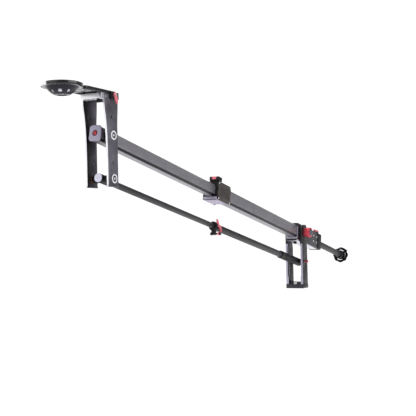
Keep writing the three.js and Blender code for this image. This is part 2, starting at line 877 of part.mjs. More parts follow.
function weightStopCollar() {
  const end = wheelPlace - wheelHubLength / 2 - turnGap;
  const ring = sleeve(collarRadius, weightRodRadius + seatGap, end - collarLength, end, 'x', fullRound, edgeBreak);
  const slit = new THREE.BoxGeometry(collarLength + 2 * cutOver, collarSlit, collarRadius)
    .translate(end - collarLength / 2, 0, -(collarRadius + weightRodRadius) / 2 - seatGap);
  return piece('weight_stop_collar', cut(ring, slit), anodisedBlack());
}

function wheelOutline() {
  const shape = new THREE.Shape();
  const steps = wheelLobes * 4;
  for (let i = 0; i < steps; i += 1) {
    const angle = (i / steps) * 2 * Math.PI;
    const radius = wheelRadius - wheelLobeDepth * (1 - Math.cos(wheelLobes * angle)) / 2;
    const [x, y] = [radius * Math.cos(angle), radius * Math.sin(angle)];
    if (i === 0) {
      shape.moveTo(x, y);
    } else {
      shape.lineTo(x, y);
    }
  }
  const inner = wheelHubRadius - edgeBreak;
  const outer = wheelRadius - wheelRimWidth;
  for (let i = 0; i < wheelLobes / 2; i += 1) {
    const middle = ((i + 0.5) / (wheelLobes / 2)) * 2 * Math.PI;
    const half = (2 * Math.PI) / wheelLobes;
    const innerHalf = half - wheelSpokeWidth / (2 * inner);
    const outerHalf = half - wheelSpokeWidth / (2 * outer);
    const window = new THREE.Path();
    window.absarc(0, 0, outer, middle - outerHalf, middle + outerHalf, false);
    window.absarc(0, 0, inner, middle + innerHalf, middle - innerHalf, true);
    window.closePath();
    shape.holes.push(window);
  }
  return shape;
}

function handWheel() {
  const disc = alongX(wheelOutline(), wheelThickness, edgeBreak);
  const hub = sleeve(wheelHubRadius, weightRodRadius + turnGap, -wheelHubLength / 2, wheelHubLength / 2, 'x',
    fullRound, edgeBreak);
  const bore = drill(weightRodRadius + turnGap, -wheelHubLength, wheelHubLength, 'x', fullRound);
  return piece('hand_wheel', join(cut(disc, bore), hub).translate(wheelPlace, 0, 0), plasticBlack());
}

// Latch on the front face of the wheel, with its tip over the rim on the near side
function wheelLatch() {
  const shape = new THREE.Shape();
  shape.absarc(0, 0, latchPinRadius, Math.PI / 3, 1.5 * Math.PI, false);
  shape.lineTo(latchLength / 2, -latchPinRadius - latchFall / 3);
  shape.lineTo(latchLength, -latchFall);
  shape.lineTo(latchLength / 2, latchPinRadius - latchFall / 3);
  const face = wheelPlace - wheelThickness / 2 - turnGap;
  const geometry = alongX(shape, latchThickness, edgeBreak)
    .rotateZ(Math.PI)
    .translate(face - latchThickness / 2, 0, latchRise);
  return piece('wheel_latch', geometry, plasticBlack());
}

// Front tube and nose, drawn in the boom's frame

function frontTube() {
  const start = -boomReach - boomNose;
  const end = -clampBootEnd + frontTubeOverlap + clampSeatDepth;
  const blank = tube(frontTubeWidth, frontTubeHeight, tubeWall, tubeCorner, start, end);
  const reach = frontTubeWidth / 2 + cutOver;
  const pivot = drill(tubeBushSpigot + seatGap, -reach, reach, 'y').translate(-boomReach, 0, 0);
  return piece('front_tube', cut(blank, pivot), carbonGrey());
}

function noseCap() {
  const width = frontTubeWidth + 2 * noseCapRim;
  const height = frontTubeHeight + 2 * noseCapRim;
  const front = -boomReach - boomNose - seatGap - noseCapLip;
  const lip = alongX(rectangle(width, height, tubeCorner + noseCapRim), noseCapLip, edgeBreak)
    .translate(front + noseCapLip / 2, 0, 0);
  const play = 2 * (tubeWall + seatGap);
  const spigot = alongX(
    rectangle(frontTubeWidth - play, frontTubeHeight - play, tubeCorner - tubeWall),
    noseCapSpigot,
    0,
  ).translate(front + noseCapLip + noseCapSpigot / 2 - edgeBreak, 0, 0);
  const recess = drill(noseRecessRadius, front - cutOver, front + noseRecessDepth, 'x');
  return piece('nose_cap', cut(join(lip, spigot), recess), satinSilver());
}

function noseLockPlug() {
  const bottom = -boomReach - boomNose - noseCapLip + noseRecessDepth - 2 * seatGap;
  const geometry = bar(nosePlugRadius, bottom - nosePlugHeight, bottom, 'x', smallRound, edgeBreak);
  return piece('nose_plug', geometry, anodisedRed());
}

function tubeBush(name, side) {
  const flangeInner = side * (frontTubeWidth / 2 + seatGap);
  const flangeOuter = side * (headHalfGap - seatGap);
  const spigot = side * (frontTubeWidth / 2 - tubeWall);
  const profile = [
    [headAxleRadius + turnGap, spigot],
    [tubeBushSpigot, spigot],
    [tubeBushSpigot, flangeInner],
    [tubeBushRadius, flangeInner],
    [tubeBushRadius, flangeOuter],
    [headAxleRadius + turnGap, flangeOuter],
    [headAxleRadius + turnGap, spigot],
  ];
  const geometry = turned(side > 0 ? profile : profile.reverse(), 'y').translate(-boomReach, 0, 0);
  return piece(name, geometry, plasticBlack());
}

// Head bracket, drawn upright with its upper pivot at the origin

function headPlateOutline() {
  const bottom = -headPlateBottom;
  const front = -headFrontEdge;
  const rear = headRearEdge;
  const bend = (headFlareEnd - headFlareStart) / 2;
  const shape = new THREE.Shape();
  shape.moveTo(front + headCorner, bottom);
  shape.lineTo(rear - headCorner, bottom);
  shape.absarc(rear - headCorner, bottom + headCorner, headCorner, -Math.PI / 2, 0, false);
  shape.lineTo(rear, headFlareStart);
  shape.bezierCurveTo(rear, headFlareStart + bend, rear + headRearFlare, headFlareEnd - bend,
    rear + headRearFlare, headFlareEnd);
  shape.lineTo(rear + headRearFlare, headPlateTop);
  shape.lineTo(front - headFrontFlare, headPlateTop);
  shape.lineTo(front - headFrontFlare, headFlareEnd);
  shape.bezierCurveTo(front - headFrontFlare, headFlareEnd - bend, front, headFlareStart + bend,
    front, headFlareStart - headFlareEnd);
  shape.lineTo(front, bottom + headCorner);
  shape.absarc(front + headCorner, bottom + headCorner, headCorner, Math.PI, 1.5 * Math.PI, false);
  return shape;
}

function headPlate(name, side) {
  const middle = side * (headHalfGap + headPlateThickness / 2);
  const panel = faceY(headPlateOutline(), headPlateThickness, fineBreak).translate(0, middle, 0);
  const length = headFrontEdge + headRearEdge + 2 * headFootRim;
  const foot = alongZ(rectangle(length, headPlateThickness + 2 * headFootRim, 2 * headFootRim), headFootHeight)
    .translate((headRearEdge - headFrontEdge) / 2, middle, headFootHeight / 2 - headPlateBottom);
  const blank = join(panel, foot);
  const reach = headOutside + cutOver;
  const upperAxle = drill(headAxleRadius + seatGap, -reach, reach, 'y');
  const lowerAxle = drill(headAxleRadius + seatGap, -reach, reach, 'y').translate(0, 0, -pivotSpacing);
  const upperHole = drill(headUpperHoleRadius, -reach, reach, 'y', tinyRound)
    .translate(-headUpperHoleRadius, 0, headUpperHoleRise);
  const lowerHole = drill(headLowerHoleRadius, -reach, reach, 'y', tinyRound).translate(0, 0, -headLowerHoleDrop);
  return piece(name, cut(blank, upperAxle, lowerAxle, upperHole, lowerHole), anodisedBlack());
}

function headAxle(name, drop) {
  const inner = headOutside + seatGap;
  const outer = inner + headAxleCapHeight;
  const profile = [
    [0, -outer],
    [headAxleCapRadius - fineBreak, -outer],
    [headAxleCapRadius, -outer + fineBreak],
    [headAxleCapRadius, -inner],
    [headAxleRadius, -inner],
    [headAxleRadius, inner],
    [headAxleCapRadius, inner],
    [headAxleCapRadius, outer - fineBreak],
    [headAxleCapRadius - fineBreak, outer],
    [0, outer],
  ];
  const sockets = [-1, 1].map((side) => new THREE.CylinderGeometry(
    axleSocketRadius,
    axleSocketRadius,
    2 * axleSocketDepth,
    6,
  ).translate(0, side * outer, 0));
  return piece(name, cut(turned(profile, 'y'), ...sockets).translate(0, 0, -drop), anodisedBlack());
}

function pivotRing(name, side, radius, drop) {
  const inner = headOutside + seatGap;
  const start = Math.min(side * inner, side * (inner + ringHeight));
  const end = Math.max(side * inner, side * (inner + ringHeight));
  const geometry = sleeve(radius, headAxleCapRadius + seatGap, start, end, 'y', smallRound, edgeBreak)
    .translate(0, 0, -drop);
  return piece(name, geometry, satinSilver());
}

function pivotWasher(name, side) {
  const outer = headHalfGap - seatGap;
  const start = Math.min(side * outer, side * (outer - pivotWasherHeight));
  const end = Math.max(side * outer, side * (outer - pivotWasherHeight));
  const geometry = plainSleeve(pivotWasherRadius, headAxleRadius + seatGap, start, end, 'y')
    .translate(0, 0, -pivotSpacing);
  return piece(name, geometry, bushBronze());
}

// The lip reaches from the front of the block to the front edges of the plates
function crossLip() {
  return crossFront - headFrontEdge - headFrontFlare - seatGap;
}

function crossBlock() {
  const middle = headPlateTop - crossHeight / 2;
  const width = crossFarSide + crossNearSide;
  const lip = alongX(rectangle(width, crossHeight, blockCorner), crossLip(), edgeBreak)
    .translate(-crossFront + crossLip() / 2, (crossFarSide - crossNearSide) / 2, middle);
  const block = alongX(rectangle(headGap - 2 * seatGap, crossHeight, blockCorner), crossDepth, 0)
    .translate(-crossFront + crossLip() + crossDepth / 2 - 2 * edgeBreak, 0, middle);
  const step = new THREE.BoxGeometry(crossLip() + cutOver, headOutside, crossHeight + 2 * cutOver)
    .translate(-crossFront + (crossLip() - cutOver) / 2, -crossNearSide - headOutside / 2, middle);
  return piece('head_cross_block', cut(join(lip, block), step), satinSilver());
}

// Jaw that closes the near end of the cross block
function crossClampEnd() {
  const width = headOutside - crossNearSide - seatGap;
  const geometry = alongX(rectangle(width, crossEndHeight, blockCorner), crossLip(), edgeBreak)
    .translate(-crossFront + crossLip() / 2, -headOutside + width / 2, headPlateTop - crossEndHeight / 2);
  return piece('head_clamp_end', geometry, satinSilver());
}

function headSpacer() {
  const geometry = alongX(rectangle(headGap - 2 * seatGap, spacerHeight, blockCorner), spacerLength, edgeBreak)
    .translate(spacerPlace, 0, headPlateTop - spacerHeight / 2);
  return piece('head_rear_spacer', geometry, anodisedBlack());
}

function platformOutline() {
  const side = headOutside;
  const shape = new THREE.Shape();
  const meet = Math.sqrt(ringRadius * ringRadius - (side - neckFillet) * (side - neckFillet));
  const meetAngle = Math.atan2(side - neckFillet, meet);
  shape.moveTo(platformRear - platformCorner, -side);
  shape.absarc(platformRear - platformCorner, -side + platformCorner, platformCorner, -Math.PI / 2, 0, false);
  shape.absarc(platformRear - platformCorner, side - platformCorner, platformCorner, 0, Math.PI / 2, false);
  shape.lineTo(-platformFront + neckFillet, side);
  shape.quadraticCurveTo(-platformFront, side, -platformFront, side - neckFillet);
  traceArc(shape, -bowlPlace, 0, ringRadius, meetAngle, 2 * Math.PI - meetAngle, fullRound);
  shape.lineTo(-platformFront, -side + neckFillet);
  shape.quadraticCurveTo(-platformFront, -side, -platformFront + neckFillet, -side);
  return shape;
}

function platformPlate() {
  const shape = platformOutline();
  const seat = new THREE.Path();
  traceArc(seat, -bowlPlace, 0, bowlSeatRadius() + seatGap, 2 * Math.PI, 2 * Math.PI / fullRound, fullRound - 1);
  const slot = new THREE.Path();
  const [slotEnd, slotHalf] = [(platformSlotLength - platformSlotWidth) / 2, platformSlotWidth / 2];
  slot.absarc(-platformSlotPlace + slotEnd, 0, slotHalf, Math.PI / 2, -Math.PI / 2, true);
  slot.absarc(-platformSlotPlace - slotEnd, 0, slotHalf, -Math.PI / 2, -1.5 * Math.PI, true);
  slot.closePath();
  shape.holes.push(slot, seat);
  const geometry = alongZ(shape, platformThickness).translate(0, 0, platformUnder + platformThickness / 2);
  return piece('platform_plate', geometry, anodisedBlack());
}

// Outer radius of the bowl where it stands in the platform's hole
function bowlSeatRadius() {
  const rise = bowlSphereRise() - platformUnder;
  return Math.sqrt(bowlSphere * bowlSphere - rise * rise) + bowlWall / 2;
}

function bowlSphereRise() {
  const floor = platformTop - bowlDepth;
  const floorRadius = bowlFloorHole + 2 * bowlWall;
  return floor + Math.sqrt(bowlSphere * bowlSphere - floorRadius * floorRadius);
}

function bowlAdapter() {
  const centre = bowlSphereRise();
  const floor = platformTop - bowlDepth;
  const rimTop = platformTop + seatGap + bowlRimHeight;
  const inner = bowlSphere - bowlWall;
  const seat = bowlSeatRadius();
  const steps = 2 * arcSteps;
  const profile = [];
  const outerStart = Math.asin((bowlFloorHole + 2 * bowlWall) / bowlSphere);
  const outerEnd = Math.acos((centre - platformUnder) / bowlSphere);
  profile.push([bowlFloorHole, floor]);
  for (let i = 0; i <= steps; i += 1) {
    const angle = outerStart + (outerEnd - outerStart) * i / steps;
    profile.push([bowlSphere * Math.sin(angle), centre - bowlSphere * Math.cos(angle)]);
  }
  profile.push([seat, platformUnder]);
  profile.push([seat, platformTop + seatGap]);
  profile.push([bowlRimRadius + bowlWall, platformTop + seatGap]);
  profile.push([bowlRimRadius + bowlWall, rimTop]);
  const innerEnd = Math.acos((centre - rimTop) / inner);
  const innerStart = Math.acos((centre - floor - bowlWall) / inner);
  for (let i = steps; i >= 0; i -= 1) {
    const angle = innerStart + (innerEnd - innerStart) * i / steps;
    profile.push([inner * Math.sin(angle), centre - inner * Math.cos(angle)]);
  }
  profile.push([bowlFloorHole, floor + bowlWall]);
  profile.push([bowlFloorHole, floor]);
  const shell = turned(profile.map(([radius, rise]) => [radius, -rise]).reverse(), 'z', fullRound)
    .rotateX(Math.PI);
  const windows = [];
  for (let i = 0; i < bowlWindows; i += 1) {
    windows.push(new THREE.BoxGeometry(bowlSphere, bowlWindowWidth, bowlWindowHeight)
      .translate(bowlSphere / 2 + bowlFloorHole, 0, platformTop - bowlWindowDrop)
      .rotateZ((i / bowlWindows) * 2 * Math.PI));
  }
  return piece('bowl_adapter', cut(shell, ...windows).translate(-bowlPlace, 0, 0), plasticBlack());
}

// Hub on the near plate, with the stud that the platform's lever turns on
function headLeverHub() {
  const face = headOutside + seatGap;
  const top = platformTop - headHubFall;
  const hub = faceY(rectangle(headHubLength, headHubHeight, 2 * edgeBreak), headHubDepth, edgeBreak)
    .translate(headHubPlace, -face - headHubDepth / 2, top - headHubHeight / 2);
  const reach = face + headHubDepth + seatGap + headLeverThickness;
  const stud = bar(headStudRadius, -reach, -face - edgeBreak, 'y', tinyRound)
    .translate(headStudPlace, 0, platformTop - headLeverDrop);
  return piece('head_lever_hub', join(hub, stud), plasticBlack());
}

function headLever() {
  const side = headOutside + headHubDepth + 2 * seatGap + headLeverThickness / 2;
  const shape = leverBlade(headLeverLength, headLeverEye, headLeverWidth / 2);
  const lean = Math.atan2(headLeverLean, headLeverLength);
  const blade = faceY(shape, headLeverThickness, edgeBreak).rotateY(Math.PI / 2 - lean);
  const eye = drill(headStudRadius + turnGap, -headLeverThickness, headLeverThickness, 'y', tinyRound);
  const geometry = cut(blade, eye).translate(headStudPlace, -side, platformTop - headLeverDrop);
  return piece('head_lever', geometry, anodisedRed());
}

// Parallel rod, drawn with its axis along X and the lower rear pivot at the origin

function rodSleeve() {
  const dome = rodSleeveRadius / 2;
  const profile = [[0, rodSleeveTail]];
  for (let i = 0; i <= domeSteps; i += 1) {
    const angle = (i / domeSteps) * Math.PI / 2;
    profile.push([
      rodSleeveRadius - dome + dome * Math.sin(angle),
      rodSleeveTail - dome + dome * Math.cos(angle),
    ]);
  }
  profile.push([rodSleeveRadius, -rodSleeveFront + rodSleeveNose]);
  profile.push([rodRearRadius + rodWall, -rodSleeveFront]);
  profile.push([rodRearRadius + seatGap, -rodSleeveFront]);
  profile.push([rodRearRadius + seatGap, -rodSleeveSeat + seatGap]);
  profile.push([0, -rodSleeveSeat + seatGap]);
  const body = turned(profile.reverse(), 'x', fullRound);
  const reach = rearHalfGap - turnGap;
  const barrel = bar(rodSpacerRadius, -reach, reach, 'y');
  const pivot = drill(rodAxleRadius + turnGap, -reach - cutOver, reach + cutOver, 'y');
  return piece('rod_sleeve', cut(join(body, barrel), pivot), plasticBlack());
}

function rodRearTube() {
  const geometry = plainSleeve(rodRearRadius, rodRearRadius - rodWall, -rodClampPlace, -rodSleeveSeat, 'x', fullRound);
  return piece('rod_rear_tube', geometry, carbonGrey());
}

function rodClampCollar() {
  const front = -rodClampPlace - rodClampLip;
  const rear = front + rodClampLength;
  const outer = rodRearRadius + rodClampWall;
  const profile = [
    [rodFrontRadius + turnGap, front],
    [outer - rodClampWall / 2, front],
    [outer, front + rodClampWall],
    [outer, rear - edgeBreak],
    [outer - edgeBreak, rear],
    [rodRearRadius + seatGap, rear],
    [rodRearRadius + seatGap, -rodClampPlace - seatGap],
    [rodFrontRadius + turnGap, -rodClampPlace - seatGap],
    [rodFrontRadius + turnGap, front],
  ];
  const ring = turned(profile, 'x', smallRound);
  const lugHeight = rodClampLugDrop - rodRearRadius;
  const lug = faceY(rectangle(rodClampLugLength, lugHeight, 2 * edgeBreak), rodClampLugWidth, edgeBreak)
    .translate((front + rear) / 2, 0, -rodRearRadius - seatGap - lugHeight / 2);
  const slit = new THREE.BoxGeometry(rodClampLength + 2 * cutOver, rodClampSlit, rodClampLugDrop)
    .translate((front + rear) / 2, 0, -rodClampLugDrop / 2 - rodFrontRadius);
  const reach = rodClampLugWidth + cutOver;
  const boltHole = drill(rodClampBarRadius + seatGap, -reach, reach, 'y', tinyRound)
    .translate((front + rear) / 2, 0, -rodClampBarDrop);
  return piece('rod_clamp_collar', cut(join(ring, lug), slit, boltHole), plasticBlack());
}

function rodClampMiddle() {
  return -rodClampPlace - rodClampLip + rodClampLength / 2;
}

function rodClampBolt() {
  const start = rodClampLugWidth / 2 + seatGap;
  const shank = bar(rodClampBarRadius, -rodClampBarEnd, start + rodNutHeight / 2, 'y', tinyRound);
  const nut = bar(rodNutRadius, start, start + rodNutHeight, 'y', tinyRound, edgeBreak);
  const head = bar(rodNutRadius, -rodClampBarEnd, -rodClampBarEnd + rodNutHeight, 'y', tinyRound, edgeBreak);
  const geometry = join(shank, nut, head).translate(rodClampMiddle(), 0, -rodClampBarDrop);
  return piece('rod_clamp_bolt', geometry, anodisedBlack());
}

// The lever stands on the near side of the collar: a bowed foot with a hook, and a tip that leans forward
function rodClampLever() {
  const shape = new THREE.Shape();
  shape.absarc(0, 0, rodLeverEye, Math.PI, 2 * Math.PI, false);
  shape.quadraticCurveTo(rodLeverHeel, rodLeverEye, rodLeverHeel, rodLeverBow);
  shape.quadraticCurveTo(rodLeverHeel, rodLeverShoulder, -rodLeverTip / 2, rodLeverShoulder);
  shape.lineTo(-rodLeverLean + rodLeverTip, rodLeverRise);
  shape.lineTo(-rodLeverLean, rodLeverRise);
  shape.quadraticCurveTo(-2 * rodLeverTip, rodLeverShoulder, -rodLeverLean, rodLeverBow);
  shape.lineTo(-rodLeverLean, rodLeverTip);
  shape.lineTo(-rodLeverLean + rodLeverEye, rodLeverTip);
  shape.quadraticCurveTo(-rodLeverBow, rodLeverShoulder, rodLeverEye, rodLeverBow);
  shape.quadraticCurveTo(rodLeverEye, rodLeverBow - rodLeverEye, -rodLeverEye, 0);
  const place = rodRearRadius + rodClampWall + seatGap + rodLeverThickness / 2;
  const blade = faceY(shape, rodLeverThickness, edgeBreak).translate(0, -place, 0);
  const reach = place + rodLeverThickness;
  const eye = drill(rodClampBarRadius + turnGap, -reach, -place + rodLeverThickness, 'y', tinyRound);
  return piece('rod_clamp_lever', cut(blade, eye).translate(rodClampMiddle(), 0, -rodClampBarDrop), anodisedRed());
}

function rodFrontTube() {
  const start = -boomReach + rodEndTail - rodEndBarrel;
  const end = -rodClampPlace + rodOverlap;
  const geometry = plainSleeve(rodFrontRadius, rodFrontRadius - rodWall, start, end, 'x', fullRound);
  return piece('rod_front_tube', geometry, carbonGrey());
}

function rodEndFitting() {
  const front = -boomReach - rodEndFront;
  const rear = -boomReach + rodEndTail;
  const body = bar(rodEndRadius, front, rear, 'x', fullRound, edgeBreak);
  const reach = headHalfGap - pivotWasherHeight - 2 * seatGap - turnGap;
  const barrel = bar(rodEndBarrel, -reach, reach, 'y', smallRound, edgeBreak).translate(-boomReach, 0, 0);
  const socket = drill(rodFrontRadius + seatGap, rear - rodEndBarrel - seatGap, rear + cutOver, 'x', fullRound);
  const pivot = drill(headAxleRadius + openPivotGap / 2, -reach - cutOver, reach + cutOver, 'y')
    .translate(-boomReach, 0, 0);
  return piece('rod_end_fitting', cut(join(body, barrel), socket, pivot), plasticBlack());
}

function rodEndDisc() {
  const rear = -boomReach - rodEndFront - seatGap;
  const geometry = bar(rodDiscRadius, rear - rodDiscHeight, rear, 'x', fullRound, edgeBreak);
  return piece('rod_end_disc', geometry, satinSilver());
}

// Assembly

function baseBracket() {
  const group = new THREE.Group();
  group.add(
    baseYoke(),
    threadInsert('thread_insert_large', -1, largeThreadRadius),
    threadInsert('thread_insert_small', 1, smallThreadRadius),
    rearPlate('rear_plate_near', -1),
    rearPlate('rear_plate_far', 1),
    tiltAxle(),
    tiltLockKnob(),
    tiltKnobCap(),
    rodAxle(),
    rodAxleCap(),
  );
  return group;
}

function headBracket() {
  const group = new THREE.Group();
  group.add(
    headPlate('head_plate_near', -1),
    headPlate('head_plate_far', 1),
    headAxle('head_axle_upper', 0),
    headAxle('head_axle_lower', pivotSpacing),
    pivotRing('pivot_ring_upper_near', -1, upperRingRadius, 0),
    pivotRing('pivot_ring_upper_far', 1, upperRingRadius, 0),
    pivotRing('pivot_ring_lower_near', -1, lowerRingRadius, pivotSpacing),
    pivotRing('pivot_ring_lower_far', 1, lowerRingRadius, pivotSpacing),
    pivotWasher('pivot_washer_near', -1),
    pivotWasher('pivot_washer_far', 1),
    crossBlock(),
    crossClampEnd(),
    headSpacer(),
    platformPlate(),
    bowlAdapter(),
    headLeverHub(),
    headLever(),
  );
  group.position.set(-boomReach, 0, 0);
  group.rotation.y = -boomPitch;
  return group;
}

function boom() {
  const group = new THREE.Group();
  group.add(
    tailHousing(),
    rearTube(),
    boomBush('boom_bush_near', -1),
    boomBush('boom_bush_far', 1),
    tailCore(),
    tailBasePlate(),
    tailEndCap(),
    underScrew(),
    tailClampLever(),
    midClampBody(),
    midClampSidePlate('mid_clamp_plate_near', -1),
    midClampSidePlate('mid_clamp_plate_far', 1),
    midClampBase(),
    saddleBlock(),
    midClampLever(),
    counterweightRod(),
    weightRodPlug(),
    weightStopCollar(),
    handWheel(),
    wheelLatch(),
    frontTube(),
    noseCap(),
    noseLockPlug(),
    tubeBush('tube_bush_near', -1),
    tubeBush('tube_bush_far', 1),
    headBracket(),
  );
  group.position.set(0, 0, pivotRise);
  group.rotation.y = boomPitch;
  return group;
}

function parallelRod() {
  const group = new THREE.Group();
  group.add(
    rodSleeve(),
    rodRearTube(),
    rodClampCollar(),
    rodClampBolt(),
    rodClampLever(),
    rodFrontTube(),
    rodEndFitting(),
    rodEndDisc(),
  );
  group.position.set(0, 0, pivotRise - pivotSpacing);
  group.rotation.y = boomPitch;
  return group;
}

const crane = new THREE.Group();
crane.add(baseBracket(), boom(), parallelRod());

export default crane;
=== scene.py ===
# %% [markdown]
# # A telescoping jib crane
# A jib is a see-saw with a load on one end. A long square boom tips on a base bracket, a thin
# rod under it keeps the head upright, and a round bar at the tail takes the balance.
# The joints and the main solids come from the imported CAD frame. This lesson dresses them:
# it builds finer, bevelled pieces over the plain solids, paints them and lights the scene.

import json
import math

import bmesh
import bpy
from mathutils import Matrix, Vector


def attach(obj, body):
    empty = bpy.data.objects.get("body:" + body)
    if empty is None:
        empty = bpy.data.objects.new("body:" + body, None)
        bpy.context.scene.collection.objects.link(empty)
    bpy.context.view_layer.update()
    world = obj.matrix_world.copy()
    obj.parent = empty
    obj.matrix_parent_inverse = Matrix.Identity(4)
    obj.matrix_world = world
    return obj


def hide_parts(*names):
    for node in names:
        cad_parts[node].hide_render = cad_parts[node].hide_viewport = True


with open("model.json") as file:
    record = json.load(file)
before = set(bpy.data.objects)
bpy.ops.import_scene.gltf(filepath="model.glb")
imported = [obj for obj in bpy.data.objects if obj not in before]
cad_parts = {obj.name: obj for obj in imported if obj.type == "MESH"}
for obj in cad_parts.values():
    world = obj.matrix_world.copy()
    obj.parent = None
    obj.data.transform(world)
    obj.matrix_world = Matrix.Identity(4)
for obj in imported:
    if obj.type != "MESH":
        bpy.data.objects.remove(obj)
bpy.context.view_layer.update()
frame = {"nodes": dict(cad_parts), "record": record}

# %% [markdown]
# ## The layout
# Every size below is in millimetres. The boom and the rod lie in tilted frames, so a piece is
# drawn straight along X first, and a matrix then tips it by 11.5 degrees about its rear pivot.
# That keeps the drawing simple: a tube's ends are just two stations on one line.

# %% Driving sizes and the three frames
MM = 0.001
PITCH = math.radians(11.5)
REACH = 1236  # rear pivot to front pivot
RISE = 200  # tilt axle above the table
SPACING = 104  # upper pivot to lower pivot, on both brackets
GAP = 0.3  # slack left between pieces that touch
REAR_TUBE, FRONT_TUBE, WALL = (36.3, 43), (30, 36.4), 2.3
PLATE_IN, PLATE_OUT = 22.9, 32.4  # faces of the rear plates, from the middle
HEAD_IN, HEAD_OUT, PLATE_TOP = 27.95, 33.25, 98.1  # faces and top of the head plates
SHARP = math.radians(32)  # a fold sharper than this keeps a crisp edge

BASE = Matrix.Identity(4)
REAR = Matrix.Translation((0, 0, RISE * MM))
BOOM = REAR @ Matrix.Rotation(PITCH, 4, "Y")
LOW = Matrix.Translation((0, 0, (RISE - SPACING) * MM))
ROD = LOW @ Matrix.Rotation(PITCH, 4, "Y")
HEAD = BOOM @ Matrix.Translation((-REACH * MM, 0, 0)) @ Matrix.Rotation(-PITCH, 4, "Y")
print("head pivot (m):", [round(v, 4) for v in HEAD.translation])

# %% [markdown]
# ## Shaping tools
# Four small tools make nearly every piece: a turned shape (as from a lathe), a plate cut to an
# outline, a block with rounded edges, and a cutter that takes one shape out of another.
# All of them end the same way: the mesh is drawn in millimetres, moved into its frame, shaded
# smooth and given crisp edges where it folds sharply.

# %% Into the scene
def smooth(mesh, angle=SHARP):
    """Shades a mesh smooth and keeps its sharp folds crisp."""
    for face in mesh.polygons:
        face.use_smooth = True
    mesh.set_sharp_from_angle(angle=angle)


def keep(name, mesh, place):
    """Moves a mesh drawn in millimetres into its frame and adds it to the scene."""
    mesh.transform(place @ Matrix.Scale(MM, 4))
    smooth(mesh)
    made = bpy.data.objects.new(name, mesh)
    bpy.context.scene.collection.objects.link(made)
    return made


def close(name, shape, place):
    """Turns a bmesh into a finished object with its faces pointing outwards."""
    bmesh.ops.recalc_face_normals(shape, faces=shape.faces)
    mesh = bpy.data.meshes.new(name)
    shape.to_mesh(mesh)
    shape.free()
    return keep(name, mesh, place)


print("edges stay crisp above", round(math.degrees(SHARP)), "degrees")

# %% [markdown]
# ## Turned shapes
# Knobs, axles, rings and tubes are round, so a lathe would make them: a profile of radius and
# station is spun about an axis. On a real lathe each sharp edge is broken with a file, and the
# small arc that is left catches the light. So each corner of the profile gets such an arc first.

# %% Breaking the corners
def soften(profile, size, closed):
    """Replaces each corner of a profile by a small three-point arc."""
    points = profile[:-1] if closed else profile
    count, soft = len(points), []
    for i, point in enumerate(points):
        if not closed and i in (0, count - 1):
            soft.append(point)
            continue
        here = Vector(point)
        before = Vector(points[i - 1]) - here
        after = Vector(points[(i + 1) % count]) - here
        reach = min(size, before.length * 0.45, after.length * 0.45)
        if reach < 0.01 or before.angle(after) > 2.9:
            soft.append(point)
            continue
        start, end = here + before.normalized() * reach, here + after.normalized() * reach
        middle = (start + end) * 0.3 + here * 0.4
        soft += [tuple(start), tuple(middle), tuple(end)]
    return soft + soft[:1] if closed else soft


square = [(0, 0), (1, 0), (1, 1), (0, 1), (0, 0)]
print("a square's four corners become", len(soften(square, 0.2, True)) - 1, "points")

# %% [markdown]
# Spinning the profile gives one ring of corners for each of its points, and faces join each ring to
# the next. A point on the axis needs one corner only, so its faces are triangles.

# %% Turning
def turned(name, profile, axis, place, rounds=64, size=0.5):
    """Spins a profile of (radius, station) pairs about the named axis."""
    closed = profile[0] == profile[-1]
    points = soften(profile, size, closed)
    shape = bmesh.new()
    rings = []
    for radius, station in points[:-1] if closed else points:
        if radius < 1e-6:
            rings.append([shape.verts.new(spot(0, 0, station, axis))])
            continue
        ring = []
        for i in range(rounds):
            turn = 2 * math.pi * i / rounds
            across, up = radius * math.cos(turn), radius * math.sin(turn)
            ring.append(shape.verts.new(spot(across, up, station, axis)))
        rings.append(ring)
    pairs = list(zip(rings, rings[1:])) + ([(rings[-1], rings[0])] if closed else [])
    for one, two in pairs:
        for i in range(rounds):
            j = (i + 1) % rounds
            corners = [one[i % len(one)], one[j % len(one)], two[j % len(two)], two[i % len(two)]]
            corners = list(dict.fromkeys(corners))
            if len(corners) > 2:
                shape.faces.new(corners)
    return close(name, shape, place)


def spot(across, up, along, axis):
    """A point given across, up and along the turning axis."""
    return {"x": (along, across, up), "y": (up, along, across), "z": (across, up, along)}[axis]


def rod_shape(name, radius, start, end, axis, place, size=0.6, rounds=64):
    """A solid round bar between two stations."""
    return turned(name, [(0, start), (radius, start), (radius, end), (0, end)], axis, place, rounds, size)


def ring_shape(name, outer, inner, start, end, axis, place, size=0.5, rounds=64):
    """A round tube or ring between two stations."""
    profile = [(inner, start), (outer, start), (outer, end), (inner, end), (inner, start)]
    return turned(name, profile, axis, place, rounds, size)


print("turning tools ready")

# %% [markdown]
# ## Outlines
# Flat pieces are drawn as closed lines of points first, as a maker scribes them on sheet. Arcs
# and curves come from formulas, so a radius can be changed in one place.

# %% Outline tools
def arc(x, y, radius, start, end, steps=10):
    """Points on a circle, angles in degrees."""
    turns = [math.radians(start + (end - start) * i / steps) for i in range(steps + 1)]
    return [(x + radius * math.cos(t), y + radius * math.sin(t)) for t in turns]


def circle(x, y, radius, steps=40):
    """A closed round line."""
    return arc(x, y, radius, 0, 360 - 360 / steps, steps - 1)


def rounded(along, up, corner, steps=6):
    """A rectangle with round corners."""
    x, y = along / 2 - corner, up / 2 - corner
    return (arc(x, -y, corner, -90, 0, steps) + arc(x, y, corner, 0, 90, steps)
            + arc(-x, y, corner, 90, 180, steps) + arc(-x, -y, corner, 180, 270, steps))


print("a circle is drawn with", len(circle(0, 0, 1)), "points")

# %% [markdown]
# Cut plates have flowing sides too. Two formulas draw them from a start, one or two points that pull
# on the line, and an end. A third turns an outline, and a fourth cuts grip flutes into a circle.

